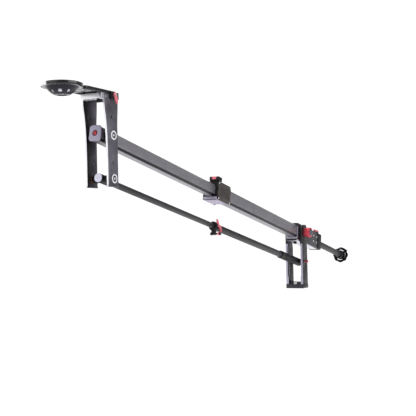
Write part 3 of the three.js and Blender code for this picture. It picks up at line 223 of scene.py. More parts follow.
# %% Curves and flutes
def ease(start, pull, push, end, steps=12):
    """Points of a cubic curve, without the first one."""
    line = []
    for i in range(1, steps + 1):
        t = i / steps
        a, b, c, d = (1 - t) ** 3, 3 * t * (1 - t) ** 2, 3 * t * t * (1 - t), t ** 3
        line.append(tuple(a * p + b * q + c * r + d * s for p, q, r, s in zip(start, pull, push, end)))
    return line


def bow(start, pull, end, steps=8):
    """Points of a quadratic curve, without the first one."""
    line = []
    for i in range(1, steps + 1):
        t = i / steps
        a, b, c = (1 - t) ** 2, 2 * t * (1 - t), t * t
        line.append(tuple(a * p + b * q + c * r for p, q, r in zip(start, pull, end)))
    return line


def spin(line, degrees):
    """An outline turned about the origin."""
    c, s = math.cos(math.radians(degrees)), math.sin(math.radians(degrees))
    return [(c * x - s * y, s * x + c * y) for x, y in line]


def fluted(radius, depth, flutes, steps=8):
    """A round outline with grip flutes cut into it."""
    line = []
    for i in range(flutes * steps):
        turn = 2 * math.pi * i / (flutes * steps)
        dip = depth * max(0, math.cos(flutes * turn)) ** 2
        line.append(((radius - dip) * math.cos(turn), (radius - dip) * math.sin(turn)))
    return line


print("a fluted rim has", len(fluted(10, 1, 12)), "points")

# %% [markdown]
# ## Plates
# A plate is cut out of sheet to its outline, with its edges broken by a small bevel. Blender's 2D
# curves do just that: they fill an outline, keep its holes open and bevel every edge evenly.

# %% Plates
FACING = {
    "y": Matrix(((1, 0, 0, 0), (0, 0, -1, 0), (0, 1, 0, 0), (0, 0, 0, 1))),
    "x": Matrix(((0, 0, 1, 0), (1, 0, 0, 0), (0, 1, 0, 0), (0, 0, 0, 1))),
    "z": Matrix.Identity(4),
}


def plate(name, outline, holes, middle, thickness, axis, place, bevel=0.5):
    """Cuts an outline with holes out of a sheet that stands across the axis. middle is (x, y, z)."""
    curve = bpy.data.curves.new(name + "_line", "CURVE")
    curve.dimensions = "2D"
    curve.fill_mode = "BOTH"
    curve.extrude = thickness / 2 - bevel
    curve.bevel_depth = bevel
    curve.bevel_resolution = 1
    curve.offset = -bevel
    for loop in [outline] + list(holes):
        line = curve.splines.new("POLY")
        line.points.add(len(loop) - 1)
        for point, (x, y) in zip(line.points, loop):
            point.co = (x, y, 0, 1)
        line.use_cyclic_u = True
    holder = bpy.data.objects.new(name + "_line", curve)
    bpy.context.scene.collection.objects.link(holder)
    bpy.context.view_layer.update()
    mesh = bpy.data.meshes.new_from_object(holder.evaluated_get(bpy.context.evaluated_depsgraph_get()))
    bpy.data.objects.remove(holder)
    shape = bmesh.new()
    shape.from_mesh(mesh)
    bpy.data.meshes.remove(mesh)
    bmesh.ops.remove_doubles(shape, verts=shape.verts, dist=1e-4)
    return close(name, shape, place @ Matrix.Translation(Vector(middle) * MM) @ FACING[axis])


print("plates can stand across", sorted(FACING))

# %% [markdown]
# ## Blocks and cutters
# Milled parts start as blocks with rounded edges. A Boolean modifier then works like a milling
# cutter, or like glue where two shapes are joined. It is applied at once, so that the next step
# finds a plain mesh.

# %% Blocks and cutters
def block(name, size, middle, place, bevel=0.8, steps=3):
    """A box with rounded edges."""
    shape = bmesh.new()
    bmesh.ops.create_cube(shape, size=1)
    bmesh.ops.scale(shape, vec=size, verts=shape.verts)
    if bevel:
        bmesh.ops.bevel(shape, geom=shape.edges[:], offset=bevel, segments=steps, profile=0.5, affect="EDGES")
    bmesh.ops.translate(shape, vec=middle, verts=shape.verts)
    return close(name, shape, place)


def carve(made, *cutters, join=False):
    """Takes cutters out of a piece, or joins them with it, and throws the cutters away."""
    for cutter in cutters:
        step = made.modifiers.new("cut", "BOOLEAN")
        step.operation = "UNION" if join else "DIFFERENCE"
        step.solver = "EXACT"
        step.object = cutter
    bpy.context.view_layer.update()
    mesh = bpy.data.meshes.new_from_object(made.evaluated_get(bpy.context.evaluated_depsgraph_get()))
    old, made.data = made.data, mesh
    made.modifiers.clear()
    bpy.data.meshes.remove(old)
    for cutter in cutters:
        bpy.data.objects.remove(cutter)
    smooth(made.data)
    return made


print("cutting tools ready")

# %% [markdown]
# ## Handing a piece over
# Each finished piece is painted, rides on the body that moves it, and says which plain solid of
# the frame it stands for. Some front faces get a painted reflection, paler than the sides, and some
# get painted shade, so the faces that look one way can get a second finish.

# %% Painting and riding
def put(made, body, paint, slot, *nodes):
    """Paints a piece, lets it ride on its body and names the plain solids that it stands for."""
    made.data.materials.clear()
    made.data.materials.append(paint)
    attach(made, body)
    if nodes:
        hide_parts(*nodes)
    return made


FORWARD = (-1, 0, 0)


def paint_light_by_facing(made, paint, turn=0.8, below=9, way=FORWARD):
    """Paints light or shade as a second finish on the faces that look the given way and lie below a height in
    metres.
    """
    made.data.materials.append(paint)
    for face in made.data.polygons:
        if face.normal.dot(Vector(way)) > turn and face.center.z < below:
            face.material_index = 1
    return made


print("the front of the crane looks along", FORWARD)

# %% [markdown]
# ## Finishes
# Nearly all of a crane like this is anodised aluminium. Anodising is a thin dyed oxide, so it
# looks like dark satin metal with a fine, even grain. Each finish is made of nodes only:
# a slow noise shifts colour and roughness a little, and a fine one makes the grain.

# %% Finish builder
def finish(name, colour, rough, metal, spread, grain, depth, stretch=(1, 1, 1), coat=0.0, shine=0.5):
    """A finish whose colour varies slowly by spread, with a fine grain that is depth mm deep."""
    paint = bpy.data.materials.new(name)
    paint.use_nodes = True
    nodes, links = paint.node_tree.nodes, paint.node_tree.links
    shader = nodes["Principled BSDF"]
    shader.inputs["Metallic"].default_value = metal
    shader.inputs["Coat Weight"].default_value = coat
    shader.inputs["Specular IOR Level"].default_value = shine
    shader.inputs["Coat Roughness"].default_value = 0.12
    where = nodes.new("ShaderNodeTexCoord")
    lay = nodes.new("ShaderNodeMapping")
    lay.inputs["Scale"].default_value = stretch
    links.new(where.outputs["Object"], lay.inputs["Vector"])
    slow = nodes.new("ShaderNodeTexNoise")
    slow.inputs["Scale"].default_value = 22
    slow.inputs["Detail"].default_value = 5
    links.new(where.outputs["Object"], slow.inputs["Vector"])
    fine = nodes.new("ShaderNodeTexNoise")
    fine.inputs["Scale"].default_value = grain
    fine.inputs["Detail"].default_value = 3
    links.new(lay.outputs["Vector"], fine.inputs["Vector"])
    tint = nodes.new("ShaderNodeValToRGB")
    tint.color_ramp.elements[0].position = 0.3
    tint.color_ramp.elements[1].position = 0.72
    tint.color_ramp.elements[0].color = (*[c * (1 - spread * 2) for c in colour], 1)
    tint.color_ramp.elements[1].color = (*[min(1, c * (1 + spread) + 0.004) for c in colour], 1)
    links.new(slow.outputs["Fac"], tint.inputs["Fac"])
    links.new(tint.outputs["Color"], shader.inputs["Base Color"])
    gloss = nodes.new("ShaderNodeMapRange")
    gloss.inputs["To Min"].default_value = max(0.05, rough - 0.09)
    gloss.inputs["To Max"].default_value = min(1, rough + 0.09)
    links.new(fine.outputs["Fac"], gloss.inputs["Value"])
    links.new(gloss.outputs["Result"], shader.inputs["Roughness"])
    bump = nodes.new("ShaderNodeBump")
    bump.inputs["Strength"].default_value = 0.5
    bump.inputs["Distance"].default_value = depth * MM
    links.new(fine.outputs["Fac"], bump.inputs["Height"])
    links.new(bump.outputs["Normal"], shader.inputs["Normal"])
    return paint


print("finish builder ready")

# %% [markdown]
# ## The finishes of this crane
# The numbers after each name are the colour, the roughness and how metallic it is. The blacks
# differ on purpose: milled brackets, moulded clamps, the glossy bowl and the flat-painted wheel
# each answer the light in their own way. The reds are dyed aluminium, deep on the knob and
# lighter on the thin levers. The pale finishes are a pale metal, which also paints reflections on
# faces that look forward, plain silver and matt lilac. The far head plate's copy of the plate finish
# carries painted shade.

# %% Finishes
BLACK = finish("black_anodised", (0.036, 0.034, 0.042), 0.42, 0.5, 0.16, 1500, 0.03)
YOKE = finish("bracket_black", (0.021, 0.020, 0.024), 0.45, 0.4, 0.22, 1300, 0.04)
SATIN = finish("grey_anodised", (0.105, 0.120, 0.165), 0.36, 0.7, 0.08, 1500, 0.02)
SHEET = finish("plate_anodised", (0.145, 0.136, 0.168), 0.42, 0.6, 0.24, 1100, 0.04)
SHADED = finish("plate_shaded", (0.150, 0.140, 0.174), 0.42, 0.6, 0.24, 1100, 0.04)
DEEP = finish("deep_black", (0.010, 0.010, 0.012), 0.50, 0.2, 0.1, 1500, 0.02, shine=0.25)
DECK = finish("platform_black", (0.007, 0.007, 0.010), 0.40, 0.1, 0.1, 1500, 0.01, coat=0.85, shine=0.2)
MOULDED = finish("moulded_black", (0.009, 0.009, 0.011), 0.50, 0.0, 0.1, 2400, 0.05, shine=0.2)
WHEELED = finish("wheel_black", (0.003, 0.003, 0.005), 0.70, 0.0, 0.1, 2400, 0.05, shine=0.03)
GLOSSY = finish("gloss_black", (0.009, 0.009, 0.017), 0.16, 0.0, 0.1, 500, 0.01, shine=0.2)
RED = finish("red_anodised", (0.58, 0.062, 0.090), 0.34, 0.6, 0.12, 1600, 0.015)
ROSE = finish("lever_red", (0.86, 0.205, 0.255), 0.38, 0.4, 0.10, 1600, 0.015)
SILVER = finish("satin_silver", (0.66, 0.65, 0.72), 0.34, 0.85, 0.05, 700, 0.02, stretch=(1, 6, 6))
LILAC = finish("matt_lilac", (0.40, 0.37, 0.48), 0.55, 0.3, 0.05, 900, 0.02)
PALE = finish("pale_disc", (0.72, 0.71, 0.86), 0.5, 0.3, 0.04, 900, 0.02)
# pale metal for whole pieces; on faces that look forward it is a painted reflection
PALE_AND_SHEEN = finish("pale_metal_and_sheen", (0.94, 0.94, 0.99), 0.32, 0.5, 0.04, 700, 0.02, stretch=(6, 6, 1))
INSIDE = finish("bright_seat", (0.46, 0.46, 0.52), 0.35, 0.5, 0.04, 700, 0.02)
STEEL = finish("plain_steel", (0.62, 0.62, 0.64), 0.28, 0.95, 0.06, 800, 0.02, stretch=(6, 1, 6))
BRONZE = finish("sintered_bronze", (0.44, 0.24, 0.12), 0.42, 0.85, 0.2, 1800, 0.06)
print("finishes:", len(bpy.data.materials))

# %% [markdown]
# In the photograph the far head plate is darker towards its front edge. It could be shade or
# dye. Here that shade is painted into the finish: a map range turns the distance along the crane
# into a factor between dark and plain, and the factor scales the finish's own colour.

# %% Painted shade that darkens a finish towards one side
def paint_shade_gradient(paint, dark, start, end):
    """Paints shade into a finish, darker towards one side, between two stations along X in metres."""
    nodes, links = paint.node_tree.nodes, paint.node_tree.links
    split = nodes.new("ShaderNodeSeparateXYZ")
    links.new(nodes["Texture Coordinate"].outputs["Object"], split.inputs["Vector"])
    ramp = nodes.new("ShaderNodeMapRange")
    for name, value in (("From Min", start), ("From Max", end), ("To Min", dark), ("To Max", 1.0)):
        ramp.inputs[name].default_value = value
    links.new(split.outputs["X"], ramp.inputs["Value"])
    scale = nodes.new("ShaderNodeVectorMath")
    scale.operation = "SCALE"
    base = nodes["Principled BSDF"].inputs["Base Color"]
    links.new(base.links[0].from_socket, scale.inputs["Vector"])
    links.new(ramp.outputs["Result"], scale.inputs["Scale"])
    links.new(scale.outputs["Vector"], base)


paint_shade_gradient(SHADED, 0.12, -1.232, -1.192)
print("the far plate darkens over", round(1232 - 1192), "mm")

# %% [markdown]
# The two boom tubes and the rods show a faint diagonal weave under a satin skin. Two crossed
# wave textures, tipped either way, give the over-and-under look of a woven cloth.

# %% Woven finish
def weave(name, colour, rough, metal, scale=70, lift=1.5):
    """A finish with two crossed sets of threads that are lighter by the factor lift."""
    paint = finish(name, colour, rough, metal, 0.08, 1300, 0.02)
    nodes, links = paint.node_tree.nodes, paint.node_tree.links
    where = nodes["Texture Coordinate"]
    shader = nodes["Principled BSDF"]
    bands = []
    for tip in (-1, 1):
        lay = nodes.new("ShaderNodeMapping")
        lay.inputs["Rotation"].default_value = (tip * math.radians(45), PITCH + tip * math.radians(45), 0)
        wave = nodes.new("ShaderNodeTexWave")
        wave.inputs["Scale"].default_value = scale
        wave.inputs["Distortion"].default_value = 0.4
        links.new(where.outputs["Object"], lay.inputs["Vector"])
        links.new(lay.outputs["Vector"], wave.inputs["Vector"])
        bands.append(wave.outputs["Fac"])
    cross = nodes.new("ShaderNodeMath")
    cross.operation = "MULTIPLY"
    links.new(bands[0], cross.inputs[0])
    links.new(bands[1], cross.inputs[1])
    mixer = nodes.new("ShaderNodeMix")
    mixer.data_type = "RGBA"
    mixer.inputs["B"].default_value = (*[min(1, c * lift + 0.006) for c in colour], 1)
    base = shader.inputs["Base Color"].links[0].from_socket
    links.new(cross.outputs["Value"], mixer.inputs["Factor"])
    links.new(base, mixer.inputs["A"])
    links.new(mixer.outputs["Result"], shader.inputs["Base Color"])
    return paint


RODDED = weave("woven_rod", (0.020, 0.019, 0.023), 0.46, 0.3)
BARRED = weave("woven_bar", (0.018, 0.017, 0.022), 0.45, 0.3)
RIBBED = weave("ribbed_black", (0.022, 0.018, 0.017), 0.55, 0.0, scale=60, lift=5.0)
print("woven finish uses", len(RODDED.node_tree.nodes), "nodes")

# %% [markdown]
# The boom's rounded lower corners are darker than its sides: painted shade. The surface's own
# direction picks them out: there the sideways part is large and the upward part is negative. So
# the painted band stays on the corner from every side and in every pose.

# %% Painted shade along the boom's corners
def paint_corner_shade(paint, dark):
    """Mixes painted shade, black, into a finish where the surface looks sideways and down."""
    nodes, links = paint.node_tree.nodes, paint.node_tree.links
    base = nodes["Principled BSDF"].inputs["Base Color"]
    split = nodes.new("ShaderNodeSeparateXYZ")
    links.new(nodes["Texture Coordinate"].outputs["Normal"], split.inputs["Vector"])
    side = nodes.new("ShaderNodeMath")
    side.operation = "ABSOLUTE"
    links.new(split.outputs["Y"], side.inputs[0])
    both = nodes.new("ShaderNodeMath")
    both.operation = "SUBTRACT"
    links.new(side.outputs["Value"], both.inputs[0])
    links.new(split.outputs["Z"], both.inputs[1])
    corner = nodes.new("ShaderNodeMapRange")
    for name, value in (("From Min", 1.08), ("From Max", 1.26), ("To Max", dark)):
        corner.inputs[name].default_value = value
    links.new(both.outputs["Value"], corner.inputs["Value"])
    shade = nodes.new("ShaderNodeMix")
    shade.data_type = "RGBA"
    shade.inputs["B"].default_value = (0.004, 0.004, 0.006, 1)
    links.new(corner.outputs["Result"], shade.inputs["Factor"])
    links.new(base.links[0].from_socket, shade.inputs["A"])
    links.new(shade.outputs["Result"], base)
    return paint


# the boom's finish carries a painted shade band along its lower corners
WOVEN = paint_corner_shade(weave("woven_tube", (0.235, 0.228, 0.253), 0.38, 0.6), 1.0)
print("the boom's finish uses", len(WOVEN.node_tree.nodes), "nodes")

# %% [markdown]
# ## Small fasteners
# Socket screws hold a crane like this together. One maker builds them all: a turned head with
# a six-sided socket cut into its face. It is drawn upright at the origin and only then turned,
# because one upright drawing is easier to get right than three.

# %% Screw maker
SCREW_TURNS = {
    "x": Matrix.Rotation(math.pi / 2, 4, "Y"),
    "y": Matrix.Rotation(-math.pi / 2, 4, "X"),
    "z": BASE,
}


def screw(name, middle, axis, side, place, body, radius=3.0, height=2.4, paint=STEEL, slot="steel"):
    """A socket screw head. It stands on middle and points along the axis, to the given side."""
    profile = [(0, 0), (radius, 0), (radius, height), (0, height)]
    head = turned(name, profile, "z", BASE, 32, 0.35)
    half = radius * 0.5
    shape = bmesh.new()
    bmesh.ops.create_cone(shape, cap_ends=True, segments=6, radius1=half, radius2=half, depth=height)
    bmesh.ops.translate(shape, vec=(0, 0, height * 1.1), verts=shape.verts)
    socket = bpy.data.meshes.new("socket")
    shape.to_mesh(socket)
    shape.free()
    carve(head, keep("socket", socket, BASE))
    turn = SCREW_TURNS[axis]
    flip = Matrix.Rotation(math.pi, 4, "X" if axis != "x" else "Z") if side < 0 else BASE
    head.data.transform(place @ Matrix.Translation(Vector(middle) * MM) @ flip @ turn)
    return put(head, body, paint, slot)


print("screw maker ready")

# %% [markdown]
# ## The base bracket
# Two thick plates stand on a foot. The foot could be milled from a block. It carries a large and
# a small threaded insert, the two usual sizes for grip gear. The thread is a turned profile with a
# row of ridges, which looks like a thread and is far lighter than a true spiral.

# %% Foot and thread inserts
foot = block("foot", (50, 66, 15), (0, 0, 7.5), BASE, 1.2)
bridge = block("bridge", (34, 45.2, 12), (0, 0, 17), BASE, 1.0)
wells = [rod_shape("well", 8.3, -3, 26, "z", Matrix.Translation((x * MM, 0, 0)), 0.2) for x in (-14, 14)]
foot = carve(foot, bridge, join=True)
put(carve(foot, *wells), "base", BLACK, "black_anodised", "base_yoke")


def insert(name, x, bore, pitch, node):
    """A bush with a real run of thread ridges inside."""
    profile = [(bore, 0.5), (8, 0.5), (8, 22.5), (bore + 0.6, 22.5)]
    turns = int(21 / pitch)
    for i in range(turns, 0, -1):
        profile += [(bore, 0.8 + i * pitch), (bore + pitch * 0.5, 0.8 + (i - 0.5) * pitch)]
    profile += [(bore, 0.8), (bore, 0.5)]
    made = turned(name, profile, "z", Matrix.Translation((x * MM, 0, 0)), 48, 0.05)
    return put(made, "base", STEEL, "steel", node)


insert("insert_large", -14, 4.76, 1.59, "thread_insert_large")
insert("insert_small", 14, 3.18, 1.27, "thread_insert_small")
print("foot and inserts:", [tuple(round(v / MM) for v in foot.dimensions)])

# %% [markdown]
# Each rear plate is cut from 9.5 mm sheet, with a slight waist behind and a shallow rebate in
# front. Its lower front faces get the lilac finish as a painted reflection, paler than its sides.
# Screws go in from the side and from the front.

# %% Rear plates
def rear_outline():
    """The outline of a rear plate, drawn from the tilt axle."""
    half, low, crown = 23.5, 15.3 - RISE, 28
    line = [(-half, low), (half, low), (half, -55)]
    for i in range(1, 24):
        t = i / 24
        line.append((half - 4 * (0.5 - 0.5 * math.cos(2 * math.pi * t)), -55 + 44 * t))
    line += [(half, -11)]
    line += arc(half - 13, crown - 13, 13, 0, 90)
    line += arc(-half + 13, crown - 13, 13, 90, 180)
    return line + [(-half, -40)]


for word, side in (("near", -1), ("far", 1)):
    middle = side * (PLATE_IN + PLATE_OUT) / 2
    made = plate(f"base_plate_{word}", rear_outline(), [circle(0, 0, 6.3), circle(0, -SPACING, 5.3)],
                 (0, middle, 0), 9.5, "y", REAR, 0.7)
    cutter = block("rebate", (12, 5.2, 110), (-20.5, side * 22.7, -102), REAR, 1.0)
    carve(made, cutter)
    put(made, "base", YOKE, "black_anodised", f"rear_plate_{word}")
    # painted reflection: the lower front faces get the lilac finish
    paint_light_by_facing(made, LILAC, below=(RISE - 60) * MM)
    for rank, x in (("a", -14), ("b", 14)):
        screw(f"foot_screw_{word}_{rank}", (x, side * (PLATE_OUT - 2.2), -177), "y", side, REAR, "base",
              3.4, 2.1)
    for rank, drop in (("a", -47), ("b", -157)):
        screw(f"edge_screw_{word}_{rank}", (-23.4 + 2.2, side * 29.0, drop), "x", -1, REAR, "base", 2.4, 2.0)
print("base plates stand", round(2 * PLATE_IN, 1), "mm apart")

# %% [markdown]
# ## The red tilt knob and the two axles
# The knob screws onto the tilt axle and squeezes the plates, so it sets the drag of the tilt.
# It is turned from red-anodised bar and fluted on the rim for grip. The flutes are in the
# outline that the plate tool cuts, so they run evenly all round.

# %% Knob and cap
knob_in = -(PLATE_OUT + GAP)
grip = plate("tilt_grip", fluted(17.45, 1.3, 18), [], (0, knob_in - 4 - 10.5, 0), 21, "y", REAR, 1.2)
collar = rod_shape("collar", 14, knob_in - 6, knob_in, "y", REAR, 0.4)
grip = carve(grip, collar, join=True)
bore = rod_shape("bore", 6.3, knob_in - 19, knob_in + 2, "y", REAR, 0.2)
dish = rod_shape("dish", 12.9, knob_in - 27, knob_in - 23.6, "y", REAR, 0.3)
put(carve(grip, bore, dish), "tilt_knob", RED, "red_anodised", "tilt_lock_knob")
cap_line = [(0, -25.9), (3, -25.7), (5, -25.9), (12.4, -25.9), (12.4, -24.2), (0, -24.2)]
cap = turned("tilt_grip_cap", [(radius, knob_in + along) for radius, along in cap_line], "y", REAR, 64, 0.5)
put(cap, "tilt_knob", SATIN, "black_plastic", "tilt_knob_cap")
print("tilt knob:", 2 * 17.45, "mm across")

# %% [markdown]
# Both axles are steel pins with a socket head on the far side. The lower one ends in a small red
# cap on the near side. A pin this simple is one turned profile with a hexagon cut into it.

# %% Rear axles
def bolt(name, radius, head, tall, start, place, body, node):
    """An axle with a socket head on the far side."""
    face = PLATE_OUT + GAP
    end, half = face + tall, head * 0.4
    profile = [(0, start), (radius, start), (radius, face), (head, face), (head, end), (0, end)]
    made = turned(name, profile, "y", place, 48, 0.7)
    shape = bmesh.new()
    bmesh.ops.create_cone(shape, cap_ends=True, segments=6, radius1=half, radius2=half, depth=tall)
    bmesh.ops.rotate(shape, matrix=Matrix.Rotation(math.pi / 2, 3, "X"), verts=shape.verts)
    bmesh.ops.translate(shape, vec=(0, face + tall, 0), verts=shape.verts)
    carve(made, close("socket", shape, place))
    return put(made, body, STEEL, "steel", node)


bolt("tilt_bolt", 6, 10, 5, -51.2, REAR, "base", "tilt_axle")
bolt("rod_bolt", 5, 8, 5, -32.3, LOW, "base", "rod_axle")
red_line = [(0, -44.2), (3.2, -44.2), (3.8, -43.4), (3.8, -32.7), (0, -32.7)]
red_end = turned("rod_bolt_cap", red_line, "y", LOW, 48, 0.5)
put(red_end, "base", RED, "red_anodised", "rod_axle_cap")
print("rear axles are", SPACING, "mm apart")

# %% [markdown]
# ## The tail housing
# Behind the tilt pivot the rear tube sits in a square housing. It could be extruded and then cut
# to length, and that is how it is drawn: one outline with a square hole, as deep as it is long.

# %% Housing
def tube_hole(width, height):
    """The outline of a bore that a square tube fits into."""
    return rounded(width + 2 * GAP, height + 2 * GAP, 5.5 + GAP, 8)


HOUSING_FRONT, HOUSING_TAIL = -36, 158
housing_middle = ((HOUSING_FRONT + HOUSING_TAIL) / 2, 0, 0)
shell = plate("housing", rounded(44, 58, 3, 6), [tube_hole(*REAR_TUBE)], housing_middle,
              HOUSING_TAIL - HOUSING_FRONT, "x", BOOM, 0.5)
carve(shell, rod_shape("bore", 9.3, -26, 26, "y", BOOM, 0.1))
put(shell, "boom_rear", BLACK, "black_anodised", "tail_housing")
print("housing length:", HOUSING_TAIL - HOUSING_FRONT, "mm")

# %% [markdown]
# The rear tube is the outer one of the two boom tubes. Its rounded corners carry the painted shade
# band of the woven finish, so they need enough faces to bend the light smoothly.

# %% Rear tube
def square_tube(name, size, start, end, corner=7.5):
    """A square tube along X, between two stations."""
    width, height = size
    bore = rounded(width - 2 * WALL, height - 2 * WALL, corner - WALL)
    return plate(name, rounded(width, height, corner, 8), [bore], ((start + end) / 2, 0, 0), end - start,
                 "x", BOOM, 0.25)


rear = square_tube("boom_rear_tube", REAR_TUBE, -638, 45)
carve(rear, rod_shape("bore", 9.3, -26, 26, "y", BOOM, 0.1))
put(rear, "boom_rear", WOVEN, "carbon_tube", "rear_tube")
print("rear tube:", 638 + 45, "mm long")

# %% [markdown]
# An end cap closes the housing and clamps the round bar. It is moulded, with big soft corners, a
# slit that lets it close on the bar, and a boss that carries the tail lever's stud.

# %% End cap
TAIL_STUD = BOOM @ Matrix.Translation((0.178, -0.011, 0))
end_cap = plate("tail_cap", rounded(46.4, 60.4, 6, 8), [circle(0, 0, 11.8, 56)], (177.3, 0, 0), 38,
                "x", BOOM, 1.5)
boss_line = [(0, 26), (6, 26), (6, 34.8), (3, 34.8), (3, 41.3), (0, 41.3)]
boss = turned("boss", boss_line, "z", TAIL_STUD, 40, 0.4)
carve(end_cap, boss, join=True)
carve(end_cap, block("slit", (42, 1.4, 29), (177.3, 0, 26), BOOM, 0))
put(end_cap, "boom_rear", MOULDED, "black_plastic", "tail_end_cap")
print("end cap:", 46.4, "x", 60.4, "mm")

# %% [markdown]
# A pale plate runs along the housing's underside, and a thin pale frame lines its front. Four
# screws a side hold the tube inside. These small parts are what makes a plain box read as a
# machined housing.

# %% Runner, frame and housing screws
runner = block("tail_runner", (191, 42, 5.2), (59.5, 0, -31.9), BOOM, 0.8)
put(runner, "boom_rear", SILVER, "satin_silver", "tail_base_plate")
# painted shade: the runner's front face gets the deep black finish
paint_light_by_facing(runner, DEEP)
trim = plate("housing_trim", rounded(43, 57, 3, 6), [tube_hole(37, 43.6)], (HOUSING_FRONT - 0.15, 0, 0),
             0.5, "x", BOOM, 0.1)
carve(trim, block("top", (4, 60, 20), (HOUSING_FRONT, 0, 25), BOOM, 0))
put(trim, "boom_rear", LILAC, "satin_silver")
for x in (24, 84, 140):
    screw(f"runner_screw_{x}", (x, 0, -34.2), "z", -1, BOOM, "boom_rear", 3.2, 1.4)
for rank, (x, n) in enumerate(((120, 12), (151, 12), (120, -9), (151, -9))):
    for word, side in (("near", -1), ("far", 1)):
        screw(f"housing_screw_{rank}_{word}", (x, side * 20.8, n), "y", side, BOOM, "boom_rear",
              3.2, 1.9, PALE_AND_SHEEN)
print("runner:", 191, "mm long, with three screws")

# %% [markdown]
# A thumb screw under the housing and a red lever on top of the end cap are worked by hand. The
# lever is cut from plate as a round eye with a narrower tip, and a wide round cutter scoops its
# top so that a finger finds it.

# %% Thumb screw and tail lever
def blade(length, eye, tip):
    """A lever's outline: a round eye at the origin and a narrower round tip."""
    return arc(0, 0, eye, 90, 270, 14) + arc(length - tip, 0, tip, -90, 90, 10)


grip = plate("thumb_screw", fluted(6, 0.45, 14, 6), [], (-4, 0, -38.05), 6.5, "z", BOOM, 0.7)
put(grip, "housing_screw", MOULDED, "black_plastic", "housing_thumb_screw")

tail_line = spin(blade(31, 6, 4), 180)
lever = plate("tail_lever", tail_line, [circle(0, 0, 3.3)], (0, 0, 38.35), 6.5, "z", TAIL_STUD, 1.3)
scoop = rod_shape("scoop", 22, -20, 20, "y", TAIL_STUD @ Matrix.Translation((-0.020, 0, 0.0615)), 0)
put(carve(lever, scoop), "tail_lever", ROSE, "red_anodised", "tail_clamp_lever")
screw("tail_stud_screw", (178, -11, 41.0), "z", 1, BOOM, "boom_rear", 4.4, 2.2)
print("tail lever swings on a stud at", [178, -11])

# %% [markdown]
# ## The mid clamp
# This block is glued to the rear tube and squeezes the front tube, so the boom can be made
# longer or shorter. Inside it steps from the outer tube's size down to the inner one's, so it is
# cut twice: a small hole right through, then a larger seat from the rear.

# %% Mid clamp body
CLAMP_FRONT, CLAMP_REAR, SEAT, FACE = -668, -586, -638.3, -671.3
MIDDLE = (CLAMP_FRONT + CLAMP_REAR) / 2
hole = [(x, y - 1.8) for x, y in tube_hole(*FRONT_TUBE)]
jaw = plate("mid_clamp", rounded(45.4, 52.4, 4, 8), [hole], (MIDDLE, 0, 1.8), CLAMP_REAR - CLAMP_FRONT,
            "x", BOOM, 0.9)
seat_end = CLAMP_REAR + 2
seat = plate("seat", tube_hole(*REAR_TUBE), [], ((SEAT + seat_end) / 2, 0, 0), seat_end - SEAT,
             "x", BOOM, 0.01)
slit = block("slit", (30, 2, 28), (-655, 10, 32.2), BOOM, 0)
put(carve(jaw, seat, slit), "boom_rear", DEEP, "black_anodised", "mid_clamp_body")
print("mid clamp:", CLAMP_REAR - CLAMP_FRONT, "mm long")

# %% [markdown]
# The clamp's side plates are ribbed for grip, as moulded clamp shells are. Six shallow blocks
# cut the grooves, and a loop spaces them, so that they stay even. Bright screws sit in the corners.

# %% Ribbed side plates
for word, side in (("near", -1), ("far", 1)):
    shell = plate(f"clamp_plate_{word}", rounded(79.6, 55, 3), [], (MIDDLE, side * 24.5, 0), 3,
                  "y", BOOM, 0.5)
    stations = [MIDDLE + (i - 2.5) * 10.6 for i in range(6)]
    grooves = [block("groove", (7.6, 2.4, 30), (x, side * 26, 0), BOOM, 0.7, 2) for x in stations]
    put(carve(shell, *grooves), "boom_rear", RIBBED, "black_plastic", f"mid_clamp_plate_{word}")
    for rank, (x, n) in enumerate(((-36, 23.5), (36, 23.5), (-36, -23.5), (36, -23.5))):
        screw(f"clamp_screw_{word}_{rank}", (MIDDLE + x, side * 24.9, n), "y", side, BOOM, "boom_rear",
              2.8, 1.6, PALE_AND_SHEEN)
print("grooves in each side plate:", len(stations))

# %% [markdown]
# A pale plate with a turned-up front covers the clamp's underside, and two dark lines cross its
# front: the upper one is painted shadow under the tube. The black saddle on top holds the red
# lever in a pocket. A small red screw beside it takes up slack.

# %% Base plate, saddle and lever
under = block("clamp_runner", (63.3, 44, 4.5), (FACE + 31.65, 0, -26.95), BOOM, 0.9)
apron = block("apron", (3, 44, 8.45), (FACE + 1.5, 0, -22.725), BOOM, 0.5)
put(carve(under, apron, join=True), "boom_rear", LILAC, "satin_silver", "mid_clamp_base_plate")
# dark strips across the apron: the upper one is painted shadow under the tube
for rank, n in enumerate((-18.9, -28.5)):
    strip = block(f"apron_dark_line_{rank}", (3.2, 44.2, 1.5), (FACE + 1.4, 0, n), BOOM, 0.4)
    put(strip, "boom_rear", DEEP, "black_plastic")

saddle = block("clamp_saddle", (24, 32, 13.7), (FACE + 12, -10, 35.15), BOOM, 2.6, 4)
pocket = block("pocket", (16, 17.1, 13.7), (FACE, -9.25, 39.35), BOOM, 0.8, 2)
pin = rod_shape("pin", 2, 29.3, 40.9, "z", BOOM @ Matrix.Translation(((FACE + 4) * MM, -0.0045, 0)), 0.1, 24)
saddle = carve(saddle, pocket)
put(carve(saddle, pin, join=True), "boom_rear", MOULDED, "black_plastic", "mid_clamp_saddle")

mid_line = spin(blade(13, 3.5, 2.4), -90)
lever = plate("mid_lever", mid_line, [circle(0, 0, 2.3, 24)], (FACE + 4, -4.5, 37.3), 9, "z", BOOM, 0.9)
put(lever, "mid_lever", ROSE, "red_anodised", "mid_clamp_lever")
slack_line = [(0, 27.9), (3.4, 27.9), (3.4, 30.4), (2.2, 31.2), (0, 31.2)]
slack = turned("slack_screw", slack_line, "z", BOOM @ Matrix.Translation((-0.630, -0.014, 0)), 32, 0.4)
put(slack, "boom_rear", RED, "red_anodised")
print("the mid lever turns at station", FACE + 4)

# %% [markdown]
# ## The round bar at the tail
# This round tube takes the balance of the load. It is woven like the boom, is closed by a moulded
# plug, and has a split collar that a small screw pinches tight. All three are turned, and the
# collar's split is a thin block taken out of it.

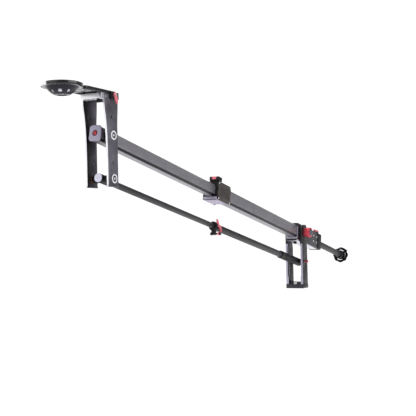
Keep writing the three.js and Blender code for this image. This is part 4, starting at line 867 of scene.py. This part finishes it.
# %% Bar, plug and collar
bar = ring_shape("weight_rod", 11.5, 9, 75, 500, "x", BOOM, 0.4)
put(bar, "counterweight_bar", BARRED, "carbon_tube", "counterweight_rod")
plug_line = [(0, 488.3), (8.7, 488.3), (8.7, 500.3), (11.5, 500.3), (11.5, 502.3), (9.5, 504.3), (0, 504.3)]
plug = turned("weight_plug", plug_line, "x", BOOM, 56, 0.4)
put(plug, "counterweight_bar", MOULDED, "black_plastic", "weight_rod_plug")
stop = ring_shape("weight_stop", 16, 11.8, 464.2, 475.2, "x", BOOM, 0.9)
carve(stop, block("slit", (15, 1.6, 16), (469.7, 0, -14.05), BOOM, 0))
put(stop, "counterweight_bar", BLACK, "black_anodised", "weight_stop_collar")
screw("stop_screw", (469.7, -6.6, -13.4), "y", -1, BOOM, "counterweight_bar", 2.4, 1.2)
print("bar:", 500 - 75, "mm long")

# %% [markdown]
# A moulded hand wheel with four windows turns at the bar's end, and a small latch sits in front
# of it. The rim has lobes for the fingers. A cosine raised to a power gives round lobes with
# narrow dips, which a plain wave wouldn't.

# %% Hand wheel and latch
WHEEL = 482  # station of the wheel's middle
WINDOW_IN, WINDOW_OUT, HALF_SPOKE = 17.2, 21.5, 4.5
lobes = []
for i in range(128):
    turn = 2 * math.pi * i / 128
    radius = 31 - 2.6 * (0.5 - 0.5 * math.cos(8 * turn)) ** 1.6
    lobes.append((radius * math.cos(turn), radius * math.sin(turn)))
half_in = 45 - math.degrees(HALF_SPOKE / WINDOW_IN)
half_out = 45 - math.degrees(HALF_SPOKE / WINDOW_OUT)
windows = []
for aim in (8, 98, 188, 278):
    outer = arc(0, 0, WINDOW_OUT, aim - half_out, aim + half_out, 12)
    windows.append(outer + arc(0, 0, WINDOW_IN, aim + half_in, aim - half_in, 10))
wheel = plate("weight_wheel", lobes, windows, (WHEEL, 0, 0), 9, "x", BOOM, 1.6)
hub = rod_shape("hub", 18, WHEEL - 6.5, WHEEL + 6.5, "x", BOOM, 1.0)
carve(wheel, hub, join=True)
carve(wheel, rod_shape("bore", 11.8, WHEEL - 9, WHEEL + 9, "x", BOOM, 0))
put(wheel, "hand_wheel", WHEELED, "black_plastic", "hand_wheel")

eye = [(-x, y) for x, y in arc(0, 0, 3.6, 60, 270, 12)]
hook = eye + [(-15, -12), (-33, -12), (-15, -0.6)]
catch = plate("wheel_catch", hook, [], (475.2, 0, 27.5), 4, "x", BOOM, 0.8)
put(catch, "wheel_latch", WHEELED, "black_plastic", "wheel_latch")
screw("catch_screw", (473.4, 0, 27.5), "x", -1, BOOM, "wheel_latch", 2.4, 1.2)
print("hand wheel is", 62, "mm across with", len(windows), "windows")

# %% [markdown]
# ## The front tube and its nose
# The inner tube slides in the outer one. Its open end is shut by a pale cap with a round recess,
# a dark ring of painted shade in it and a small red lock screw. The cap has a spigot that fits
# into the tube, as a real push-in cap does.

# %% Front tube and nose
front = square_tube("boom_front_tube", FRONT_TUBE, -1260.5, -546)
carve(front, rod_shape("bore", 8.8, -24, 24, "y", BOOM @ Matrix.Translation((-1.236, 0, 0)), 0.1))
put(front, "boom_front", WOVEN, "carbon_tube", "front_tube")
nose = plate("nose", rounded(32.4, 38.8, 6.7, 8), [], (-1262.8, 0, 0), 4, "x", BOOM, 0.8)
spigot = plate("spigot", rounded(24.8, 31.2, 3.2), [], (-1255.6, 0, 0), 12, "x", BOOM, 0.1)
carve(nose, spigot, join=True)
recess = rod_shape("recess", 7.5, -1267, -1261.3, "x", BOOM, 0.2)
put(carve(nose, recess), "boom_front", LILAC, "satin_silver", "nose_cap")
# painted shade: a deep black ring lines the recess round the red lock
well = ring_shape("nose_recess_shade", 7.3, 5.3, -1262.6, -1261.5, "x", BOOM, 0.1)
put(well, "boom_front", DEEP, "black_plastic")
lock = rod_shape("nose_lock", 5, -1264.1, -1261.6, "x", BOOM, 0.6, 40)
socket = plate("socket", circle(0, 0, 2.4, 6), [], (-1264.1, 0, 0), 3, "x", BOOM, 0.01)
put(carve(lock, socket), "boom_front", RED, "red_anodised", "nose_plug")
print("front tube:", 1260.5 - 546, "mm")

# %% [markdown]
# ## The head bracket
# Two flat plates hang on the boom's and the rod's front pivots. Both pivots are as far apart as
# the rear ones, which makes a parallelogram: whatever the boom does, the plates stay upright.
# They flare at the top, where a cross block and a spacer carry the platform. They could be cut
# from sheet by a water jet. Their front faces get a pale painted reflection, dark buttons close
# their spare holes, and a short foot is joined on below.

# %% Head plates
def head_outline():
    """The outline of a head plate, drawn from the upper pivot."""
    line = arc(13.5, -118, 6, -90, 0, 6) + [(19.5, 18)]
    line += ease((19.5, 18), (19.5, 51), (22.5, 51), (22.5, 84))
    line += [(22.5, PLATE_TOP), (-34.5, PLATE_TOP), (-34.5, 84)]
    line += ease((-34.5, 84), (-34.5, 51), (-22.5, 51), (-22.5, -66), 24)
    return line + arc(-16.5, -118, 6, 180, 270, 6)


for word, side in (("near", -1), ("far", 1)):
    middle = side * (HEAD_IN + HEAD_OUT) / 2
    holes = [circle(0, 0, 6.3), circle(0, -SPACING, 6.3), circle(-3.6, 44, 3.6, 28), circle(0, -66, 2.6, 24)]
    sheet = plate(f"head_side_{word}", head_outline(), holes, (0, middle, 0), 5.3, "y", HEAD, 0.45)
    foot = plate("foot", rounded(45, 8.3, 3, 6), [], (-1.5, middle, -122), 4, "z", HEAD, 0.8)
    # the far plate takes the copy with painted shade towards its front edge
    paint = SHEET if side < 0 else SHADED
    put(carve(sheet, foot, join=True), "head", paint, "black_anodised", f"head_plate_{word}")
    # painted reflection: the plate's forward faces get the pale finish
    paint_light_by_facing(sheet, PALE_AND_SHEEN)
    start, end = sorted((side * (HEAD_IN + 0.4), side * (HEAD_OUT - 0.4)))
    for level, x, z, radius in (("high", -3.6, 44, 3.5), ("low", 0, -66, 2.5)):
        hole_at = HEAD @ Matrix.Translation((x * MM, 0, z * MM))
        button = rod_shape(f"head_button_{level}_{word}", radius, start, end, "y", hole_at, 0.2, 28)
        put(button, "head", MOULDED, "black_plastic")
    for rank, (x, z) in enumerate(((-28, 90), (-8, 80), (14, 80))):
        if rank == 0 or side > 0:
            screw(f"head_screw_{word}_{rank}", (x, side * (HEAD_OUT - 0.4), z), "y", side, HEAD, "head",
                  3.0, 1.6)
print("head plates:", PLATE_TOP + 124, "mm tall")

# %% [markdown]
# Each pivot is an axle with a head at both ends, in a pale washer ring with a screw in its middle.
# The same few lines make both pivots. Only the height and the ring's size differ.

# %% Head axles and rings
for word, drop, rim in (("upper", 0, 11.4), ("lower", SPACING, 11)):
    low = HEAD @ Matrix.Translation((0, 0, -drop * MM))
    face = HEAD_OUT + GAP
    tip = face + 2.2
    profile = [(0, -tip), (7.2, -tip), (7.2, -face), (6, -face), (6, face), (7.2, face), (7.2, tip), (0, tip)]
    axle = turned(f"head_bolt_{word}", profile, "y", low, 48, 0.4)
    for side in (-1, 1):
        carve(axle, plate("socket", circle(0, 0, 3.4, 6), [], (0, side * tip, 0), 2.8, "y", low, 0.01))
    put(axle, "head", BLACK, "black_anodised", f"head_axle_{word}")
    for name, side in (("near", -1), ("far", 1)):
        start, end = sorted((side * face, side * (face + 2.8)))
        ring = ring_shape(f"ring_{word}_{name}", rim, 7.5, start, end, "y", low, 0.8)
        put(ring, "head", PALE_AND_SHEEN, "satin_silver", f"pivot_ring_{word}_{name}")
        screw(f"ring_screw_{word}_{name}", (0, side * (face + 0.7), 0), "y", side, low, "head",
              3.6, 1.4, PALE_AND_SHEEN, "satin_silver")
print("pivot rings stand", round(face + 2.8, 2), "mm out")

# %% [markdown]
# The pale cross block ties the two plates together in front, and a loose jaw at its near end is
# drawn up by a small moulded knob. A black spacer does the same work behind. They are milled
# blocks, so each starts as a rounded block, and the cross block loses a step.

# %% Cross block, jaw and spacer
BLOCK_HIGH, JAW_HIGH = 13, 15.3
level = PLATE_TOP - BLOCK_HIGH / 2
lip = block("cross_block", (11.2, 53.5, BLOCK_HIGH), (-40.4, 0.75, level), HEAD, 0.9)
core = block("core", (14, 55.3, BLOCK_HIGH), (-29.4, 0, level), HEAD, 0.5)
carve(lip, core, join=True)
carve(lip, block("step", (13.2, 20, 16), (-41.4, -36, level), HEAD, 0))
put(lip, "head", PALE_AND_SHEEN, "satin_silver", "head_cross_block")
jaw = block("cross_jaw", (11.2, 6.95, JAW_HIGH), (-40.4, -29.775, PLATE_TOP - JAW_HIGH / 2), HEAD, 0.9)
put(jaw, "head", SILVER, "satin_silver", "head_clamp_end")
spacer = block("head_spacer", (24, 55.3, 11.3), (1, 0, PLATE_TOP - 5.65), HEAD, 0.9)
put(spacer, "head", BLACK, "black_anodised", "head_rear_spacer")
knob = plate("cross_knob", fluted(3.9, 0.35, 12, 6), [], (-40, -23.5, 78.8), 14, "y", HEAD, 0.6)
lug = block("lug", (6, 5, 6.5), (-40, -21, 82.2), HEAD, 0.5)
put(carve(knob, lug, join=True), "head", MOULDED, "black_plastic")
print("cross block front at", -46)

# %% [markdown]
# ## The platform and the bowl
# The platform is a flat plate with a round ring at the front, joined by a neck with soft corners.
# Where the neck meets the ring is worked out from the ring's radius, so that the line stays
# whole. A slot lets the plate slide on its screws, and a thin dark pad under it paints the shadow
# above the cross block. The ring's front faces get a painted reflection.

# %% Platform
SHEET_DEEP = 8
TOP_LOW, TOP_HIGH = PLATE_TOP + GAP, PLATE_TOP + GAP + SHEET_DEEP
RING_AT = -152  # the ring's centre, in front of the head pivot


def platform_outline():
    """The platform's outline, seen from above."""
    half, ring, neck = HEAD_OUT, 48.35, 7
    meet = math.degrees(math.atan2(half - neck, math.sqrt(ring ** 2 - (half - neck) ** 2)))
    line = arc(12, -half + 9, 9, -90, 0, 8) + arc(12, half - 9, 9, 0, 90, 8)
    line += [(-106 + neck, half)] + bow((-106 + neck, half), (-106, half), (-106, half - neck), 6)
    line += arc(RING_AT, 0, ring, meet, 360 - meet, 72)
    return line + [(-106, -half + neck)] + bow((-106, -half + neck), (-106, -half), (-106 + neck, -half), 6)


slot_line = arc(-33, 0, 4, -90, 90, 10) + arc(-71, 0, 4, 90, 270, 10)
sheet = plate("platform", platform_outline(), [circle(RING_AT, 0, 39.05, 96), slot_line],
              (0, 0, (TOP_LOW + TOP_HIGH) / 2), SHEET_DEEP, "z", HEAD, 0.4)
put(sheet, "head", DECK, "black_anodised", "platform_plate")
# painted reflection: the platform's faces that look forward and to the far side get the pale finish
paint_light_by_facing(sheet, PALE_AND_SHEEN, 0.89, way=(-0.82, 0.57, 0))
# painted shadow: a thin dark pad under the platform, above the cross block
shadow_pad = block("platform_shadow_pad", (36, 63, 0.2), (-48, 0, PLATE_TOP + 0.15), HEAD, 0)
put(shadow_pad, "head", WHEELED, "black_plastic")
for rank, (x, y) in enumerate(((-28, 20), (-28, -20), (6, 20), (6, -20))):
    screw(f"platform_screw_{rank}", (x, y, TOP_HIGH - 1.1), "z", 1, HEAD, "head", 3.4, 1.6,
          BLACK, "black_anodised")
print("platform top is", round(TOP_HIGH, 1), "mm above the head pivot")

# %% [markdown]
# A bowl drops into the ring and takes a half-ball, which levels what stands on it. It is a shell
# between two spheres with one centre, so its profile is two arcs. Windows in its wall save
# weight. Its inner faces are the bright bearing surface, and they are found by their distance
# from the common centre.

# %% Bowl
BALL_OUT, BALL_IN, FLAT, BOWL_DEEP = 43, 40, 17, 26
BOWL_FLOOR = TOP_HIGH - BOWL_DEEP
BALL_CENTRE = BOWL_FLOOR + math.sqrt(BALL_OUT ** 2 - FLAT ** 2)
BOWL = HEAD @ Matrix.Translation((RING_AT * MM, 0, 0))


def shell_arc(radius, start, end, steps):
    """Points of a sphere's profile, from angle start to angle end."""
    turns = [start + (end - start) * i / steps for i in range(steps + 1)]
    return [(radius * math.sin(a), BALL_CENTRE - radius * math.cos(a)) for a in turns]


def bowl_profile():
    """The bowl's wall: up the outside, over the rim and down the inside."""
    rim, ledge = TOP_HIGH + GAP + 1.6, TOP_HIGH + GAP
    seat = math.sqrt(BALL_OUT ** 2 - (BALL_CENTRE - TOP_LOW) ** 2) + 1.5
    line = [(11, BOWL_FLOOR)]
    line += shell_arc(BALL_OUT, math.asin(FLAT / BALL_OUT), math.acos((BALL_CENTRE - TOP_LOW) / BALL_OUT), 12)
    line += [(seat, TOP_LOW), (seat, ledge), (BALL_OUT, ledge), (BALL_OUT, rim)]
    low = math.acos((BALL_CENTRE - BOWL_FLOOR - 3) / BALL_IN)
    line += shell_arc(BALL_IN, math.acos((BALL_CENTRE - rim) / BALL_IN), low, 16)
    return line + [(11, BOWL_FLOOR + 3), (11, BOWL_FLOOR)]


bowl = turned("bowl", bowl_profile(), "z", BOWL, 96, 0.3)
for i in range(8):
    aim = BOWL @ Matrix.Rotation(math.radians(28 + 45 * i), 4, "Z")
    carve(bowl, block("window", (42, 8.5, 5.2), (32, 0, TOP_HIGH - 19), aim, 1.2, 2))
put(bowl, "head", GLOSSY, "bowl_gloss", "bowl_adapter")
bowl.data.materials.append(INSIDE)
middle = BOWL @ Vector((0, 0, BALL_CENTRE * MM))
for face in bowl.data.polygons:
    inward = middle - face.center
    if inward.length < (BALL_IN + 1.4) * MM and face.normal.dot(inward) > 0.8 * inward.length:
        face.material_index = 1
print("bowl seat:", 2 * BALL_IN, "mm across inside")

# %% [markdown]
# The platform is clamped by a red lever on a moulded hub at the near side. The lever is the same
# eye-and-tip outline as the others, leaning back a little, and it turns on a stud in the hub.

# %% Platform lever and its hub
hub = block("lever_hub", (30, 7, 17), (2, -HEAD_OUT - GAP - 3.5, TOP_HIGH - 3.4 - 8.5), HEAD, 1.4)
stud_at = HEAD @ Matrix.Translation((-0.002, 0, (TOP_HIGH - 10) * MM))
stud = rod_shape("stud", 2.4, -45.85, -34.4, "y", stud_at, 0.2, 28)
put(carve(hub, stud, join=True), "head", MOULDED, "black_plastic", "head_lever_hub")
lean = math.degrees(math.atan2(7, 22))
lean_line = spin(blade(22, 5.2, 3), lean - 90)
lever = plate("platform_lever", lean_line, [circle(0, 0, 2.7, 28)], (0, -43.35, 0), 5, "y", stud_at, 1.2)
put(lever, "head_lever", ROSE, "red_anodised", "head_lever")
screw("lever_screw", (0, -45.6, 0), "y", -1, stud_at, "head", 3.4, 1.6)
print("platform lever leans", round(lean, 1), "degrees")

# %% [markdown]
# ## The parallel rod
# The rod under the boom telescopes too. Its rear end is a moulded sleeve on the lower base axle,
# with three grip grooves that are simply dents in its turned profile. From there a 21 mm tube
# takes a 16 mm one.

# %% Sleeve and tubes
sleeve_line = [(0, 27)] + [(6.75 + 6.75 * math.sin(a), 20.25 + 6.75 * math.cos(a))
                           for a in [math.pi / 2 * i / 10 for i in range(1, 11)]]
for x in (-118, -126, -134):
    sleeve_line += [(13.5, x + 1.2), (12.7, x + 0.8), (12.7, x - 0.8), (13.5, x - 1.2)]
sleeve_line += [(13.5, -152), (12.4, -158), (10.8, -158), (10.8, -44.7), (0, -44.7)]
sleeve = turned("rod_sleeve_dressed", sleeve_line, "x", ROD, 64, 0.3)
carve(sleeve, rod_shape("barrel", 8, -22.6, 22.6, "y", ROD, 0.5, 48), join=True)
carve(sleeve, rod_shape("bore", 5.3, -26, 26, "y", ROD, 0.1, 40))
put(sleeve, "rod_rear", MOULDED, "black_plastic", "rod_sleeve")
outer_tube = ring_shape("rod_outer", 10.5, 8.6, -650, -45, "x", ROD, 0.3)
put(outer_tube, "rod_rear", RODDED, "carbon_tube", "rod_rear_tube")
inner_tube = ring_shape("rod_inner", 8, 6.1, -1219, -560, "x", ROD, 0.3)
put(inner_tube, "rod_front", RODDED, "carbon_tube", "rod_front_tube")
print("rod tubes:", 2 * 10.5, "and", 2 * 8, "mm")

# %% [markdown]
# A split collar in the middle grips the inner tube. A pin runs through its lug, and a lever on
# the pin closes the split. The collar is a turned ring with a lug joined on and a slit cut
# through both, in the order in which it would be machined.

# %% Rod clamp
CLAMP_X = -651
PIN = ROD @ Matrix.Translation((CLAMP_X * MM, 0, -0.0225))
collar_line = [(8.3, -663), (12.3, -663), (14.1, -659.4), (14.1, -639), (10.8, -639), (10.8, -650.3),
               (8.3, -650.3), (8.3, -663)]
collar = turned("rod_collar", collar_line, "x", ROD, 56, 0.6)
lug = block("lug", (10, 13, 15.5), (CLAMP_X, 0, -18.55), ROD, 1.4)
carve(collar, lug, join=True)
slit = block("slit", (30, 5, 26), (CLAMP_X, 0, -21), ROD, 0)
carve(collar, slit, rod_shape("hole", 3.3, -16, 16, "y", PIN, 0, 32))
put(collar, "rod_rear", MOULDED, "black_plastic", "rod_clamp_collar")
pin_line = [(0, -24), (4.6, -24), (4.6, -21), (3, -21), (3, 6.8), (4.6, 6.8), (4.6, 9.8), (0, 9.8)]
pin = turned("rod_pin", pin_line, "y", PIN, 36, 0.5)
put(pin, "rod_rear", BLACK, "black_anodised", "rod_clamp_bolt")
print("rod clamp at", CLAMP_X)

# %% [markdown]
# The flip lever is a bent blade: it curls round the pin, rises beside the rod and ends in a long
# tip. Short curves joined end to end follow it better than straight lines would. Its lower leg
# is black.

# %% Flip lever
def flip_outline():
    """The red blade's outline, drawn from the pin."""
    line = arc(0, 0, 5, 180, 360, 14)
    line += bow((5, 0), (13, 5), (13, 15)) + bow((13, 15), (13, 27), (-3.5, 27))
    line += [(-14.5, 41), (-18.5, 41)] + bow((-18.5, 41), (-13, 29), (-10, 23))
    return line + bow((-10, 23), (5, 22), (7, 14)) + bow((7, 14), (6.5, 6), (-5, 0))[:-1]


flip = plate("rod_flip", flip_outline(), [circle(0, 0, 3.3, 28)], (0, -17.15, 0), 5.5, "y", PIN, 1.0)
put(flip, "rod_lever", ROSE, "red_anodised", "rod_clamp_lever")
leg_line = [(-19.5, 21), (-19, 13), (-16, 13), (-14.5, 18), (-11.5, 23), (-15, 27)]
leg = plate("rod_flip_leg", leg_line, [], (0, -17.15, 0), 4.5, "y", PIN, 0.8)
put(leg, "rod_lever", MOULDED, "black_plastic")
print("flip lever:", len(flip_outline()), "points in its outline")

# %% [markdown]
# The rod's front end turns on the lower head axle. A round bar and a cross barrel are joined, and
# two bores go in: one for the tube, one for the axle. A pale disc shuts it in front.

# %% Rod end
end = rod_shape("rod_end", 11, -1252, -1210, "x", ROD, 0.9)
END = ROD @ Matrix.Translation((-1.236, 0, 0))
carve(end, rod_shape("barrel", 9, -25.45, 25.45, "y", END, 0.8, 48), join=True)
tube_seat = rod_shape("socket", 8.3, -1219.3, -1205, "x", ROD, 0.1)
carve(end, tube_seat, rod_shape("bore", 6.45, -30, 30, "y", END, 0.1, 48))
put(end, "rod_front", MOULDED, "black_plastic", "rod_end_fitting")
disc_line = [(0, -1254.8), (3, -1254.3), (4, -1254.8), (10.8, -1254.8), (10.8, -1252.3), (0, -1252.3)]
disc = turned("rod_disc", disc_line, "x", ROD, 64, 0.5)
put(disc, "rod_front", PALE, "satin_silver", "rod_end_disc")
print("rod end:", 2 * 11, "mm across")

# %% [markdown]
# ## Paint for the pieces that stay as packed
# Some solids sit inside others or are simple enough to stay as they are. They still get a real
# finish, chosen from the record's own material slots.

# %% Paint what stays
PAINTS = {
    "black_anodised": BLACK, "carbon_tube": WOVEN, "black_plastic": MOULDED, "bowl_gloss": GLOSSY,
    "red_anodised": RED, "satin_silver": SILVER, "steel": STEEL, "bronze": BRONZE,
}
slots = {part["node"]: part["material_slot"] for part in frame["record"]["subparts"]}
kept = 0
for node, solid in frame["nodes"].items():
    if solid.hide_render:
        continue
    solid.data.materials.clear()
    solid.data.materials.append(PAINTS[slots[node]])
    smooth(solid.data, math.radians(28))
    kept += 1
print("solids shown as packed:", kept)

# %% [markdown]
# ## Light
# The studio is plain and white. Two big soft lamps hang at the near side and above. The world is
# brighter on the far side than on the near side, so that dark sides stay dark while edges
# and undersides pick up light, as they would beside a white backdrop.

# %% Lamps
def lamp(name, place, aim, size, power):
    """A rectangular soft lamp at a place, turned towards its aim."""
    light = bpy.data.lights.new(name, "AREA")
    light.shape = "RECTANGLE"
    light.size, light.size_y = size
    light.energy = power
    made = bpy.data.objects.new(name, light)
    made.location = place
    made.rotation_euler = (Vector(aim) - Vector(place)).to_track_quat("-Z", "Y").to_euler()
    bpy.context.scene.collection.objects.link(made)


lamp("side_softbox", (-0.8, -3.0, 1.6), (-0.5, 0, 0.2), (3.0, 1.6), 45)
lamp("top_softbox", (-0.4, 0.2, 3.0), (-0.4, 0, 0.2), (3.0, 1.6), 40)
print("lamps:", len(bpy.data.lights))

# %% World
world = bpy.data.worlds.new("studio")
world.use_nodes = True
backdrop = world.node_tree.nodes["Background"]
backdrop.inputs["Color"].default_value = (1, 1, 1, 1)
nodes, links = world.node_tree.nodes, world.node_tree.links
where = nodes.new("ShaderNodeTexCoord")
split = nodes.new("ShaderNodeSeparateXYZ")
fade = nodes.new("ShaderNodeMapRange")
fade.interpolation_type = "SMOOTHSTEP"
DIM, BRIGHT = 0.22, 1.1
for name, value in (("From Min", -0.35), ("From Max", 0.12), ("To Min", DIM), ("To Max", BRIGHT)):
    fade.inputs[name].default_value = value
links.new(where.outputs["Generated"], split.inputs["Vector"])
links.new(split.outputs["Y"], fade.inputs["Value"])
links.new(fade.outputs["Result"], backdrop.inputs["Strength"])
bpy.context.scene.world = world
bpy.context.scene.view_settings.view_transform = "Standard"
print("world strength runs from", DIM, "to", BRIGHT)

# %% [markdown]
# The floor is one wide pale plane, well below the crane. It glows a little, so that it looks
# white up to its far edge and throws soft light at the undersides.

# %% Floor
FLOOR_DROP, FLOOR_GLOW = -0.9, 0.36
ground = bmesh.new()
bmesh.ops.create_grid(ground, x_segments=1, y_segments=1, size=30)
mesh = bpy.data.meshes.new("floor")
ground.to_mesh(mesh)
ground.free()
floor = bpy.data.objects.new("floor", mesh)
floor.location = (0, 0, FLOOR_DROP)
bpy.context.scene.collection.objects.link(floor)
pale = bpy.data.materials.new("floor_paint")
pale.use_nodes = True
shader = pale.node_tree.nodes["Principled BSDF"]
shader.inputs["Base Color"].default_value = (0.93, 0.93, 0.93, 1)
shader.inputs["Roughness"].default_value = 0.9
shader.inputs["Emission Color"].default_value = (1, 1, 1, 1)
shader.inputs["Emission Strength"].default_value = FLOOR_GLOW
floor.data.materials.append(pale)
print("floor:", FLOOR_DROP, "m")

# %% [markdown]
# ## View
# The place and the lens of Blender's camera were worked out from the outlines in the photograph.
# Yaw, climb and roll give three directions, ahead, right and up, which together are its turn.

# %% Camera
LENS, EYE = 75.56, (-2.9461, -1.2116, 0.2108)
YAW, CLIMB, ROLL = math.radians(28.07), math.radians(1.55), math.radians(-1.27)
ahead = Vector((math.cos(YAW) * math.cos(CLIMB), math.sin(YAW) * math.cos(CLIMB), math.sin(CLIMB)))
level = ahead.cross(Vector((0, 0, 1))).normalized()
upright = level.cross(ahead)
right = level * math.cos(ROLL) + upright * math.sin(ROLL)
top = upright * math.cos(ROLL) - level * math.sin(ROLL)
lens = bpy.data.cameras.new("camera")
lens.sensor_width = 36
lens.lens = LENS
lens.clip_end = 60
camera = bpy.data.objects.new("camera", lens)
turn = Matrix((right, top, -ahead)).transposed().to_4x4()
camera.matrix_world = Matrix.Translation(EYE) @ turn
bpy.context.scene.collection.objects.link(camera)
bpy.context.scene.camera = camera
print("camera looks along", [round(v, 3) for v in ahead])
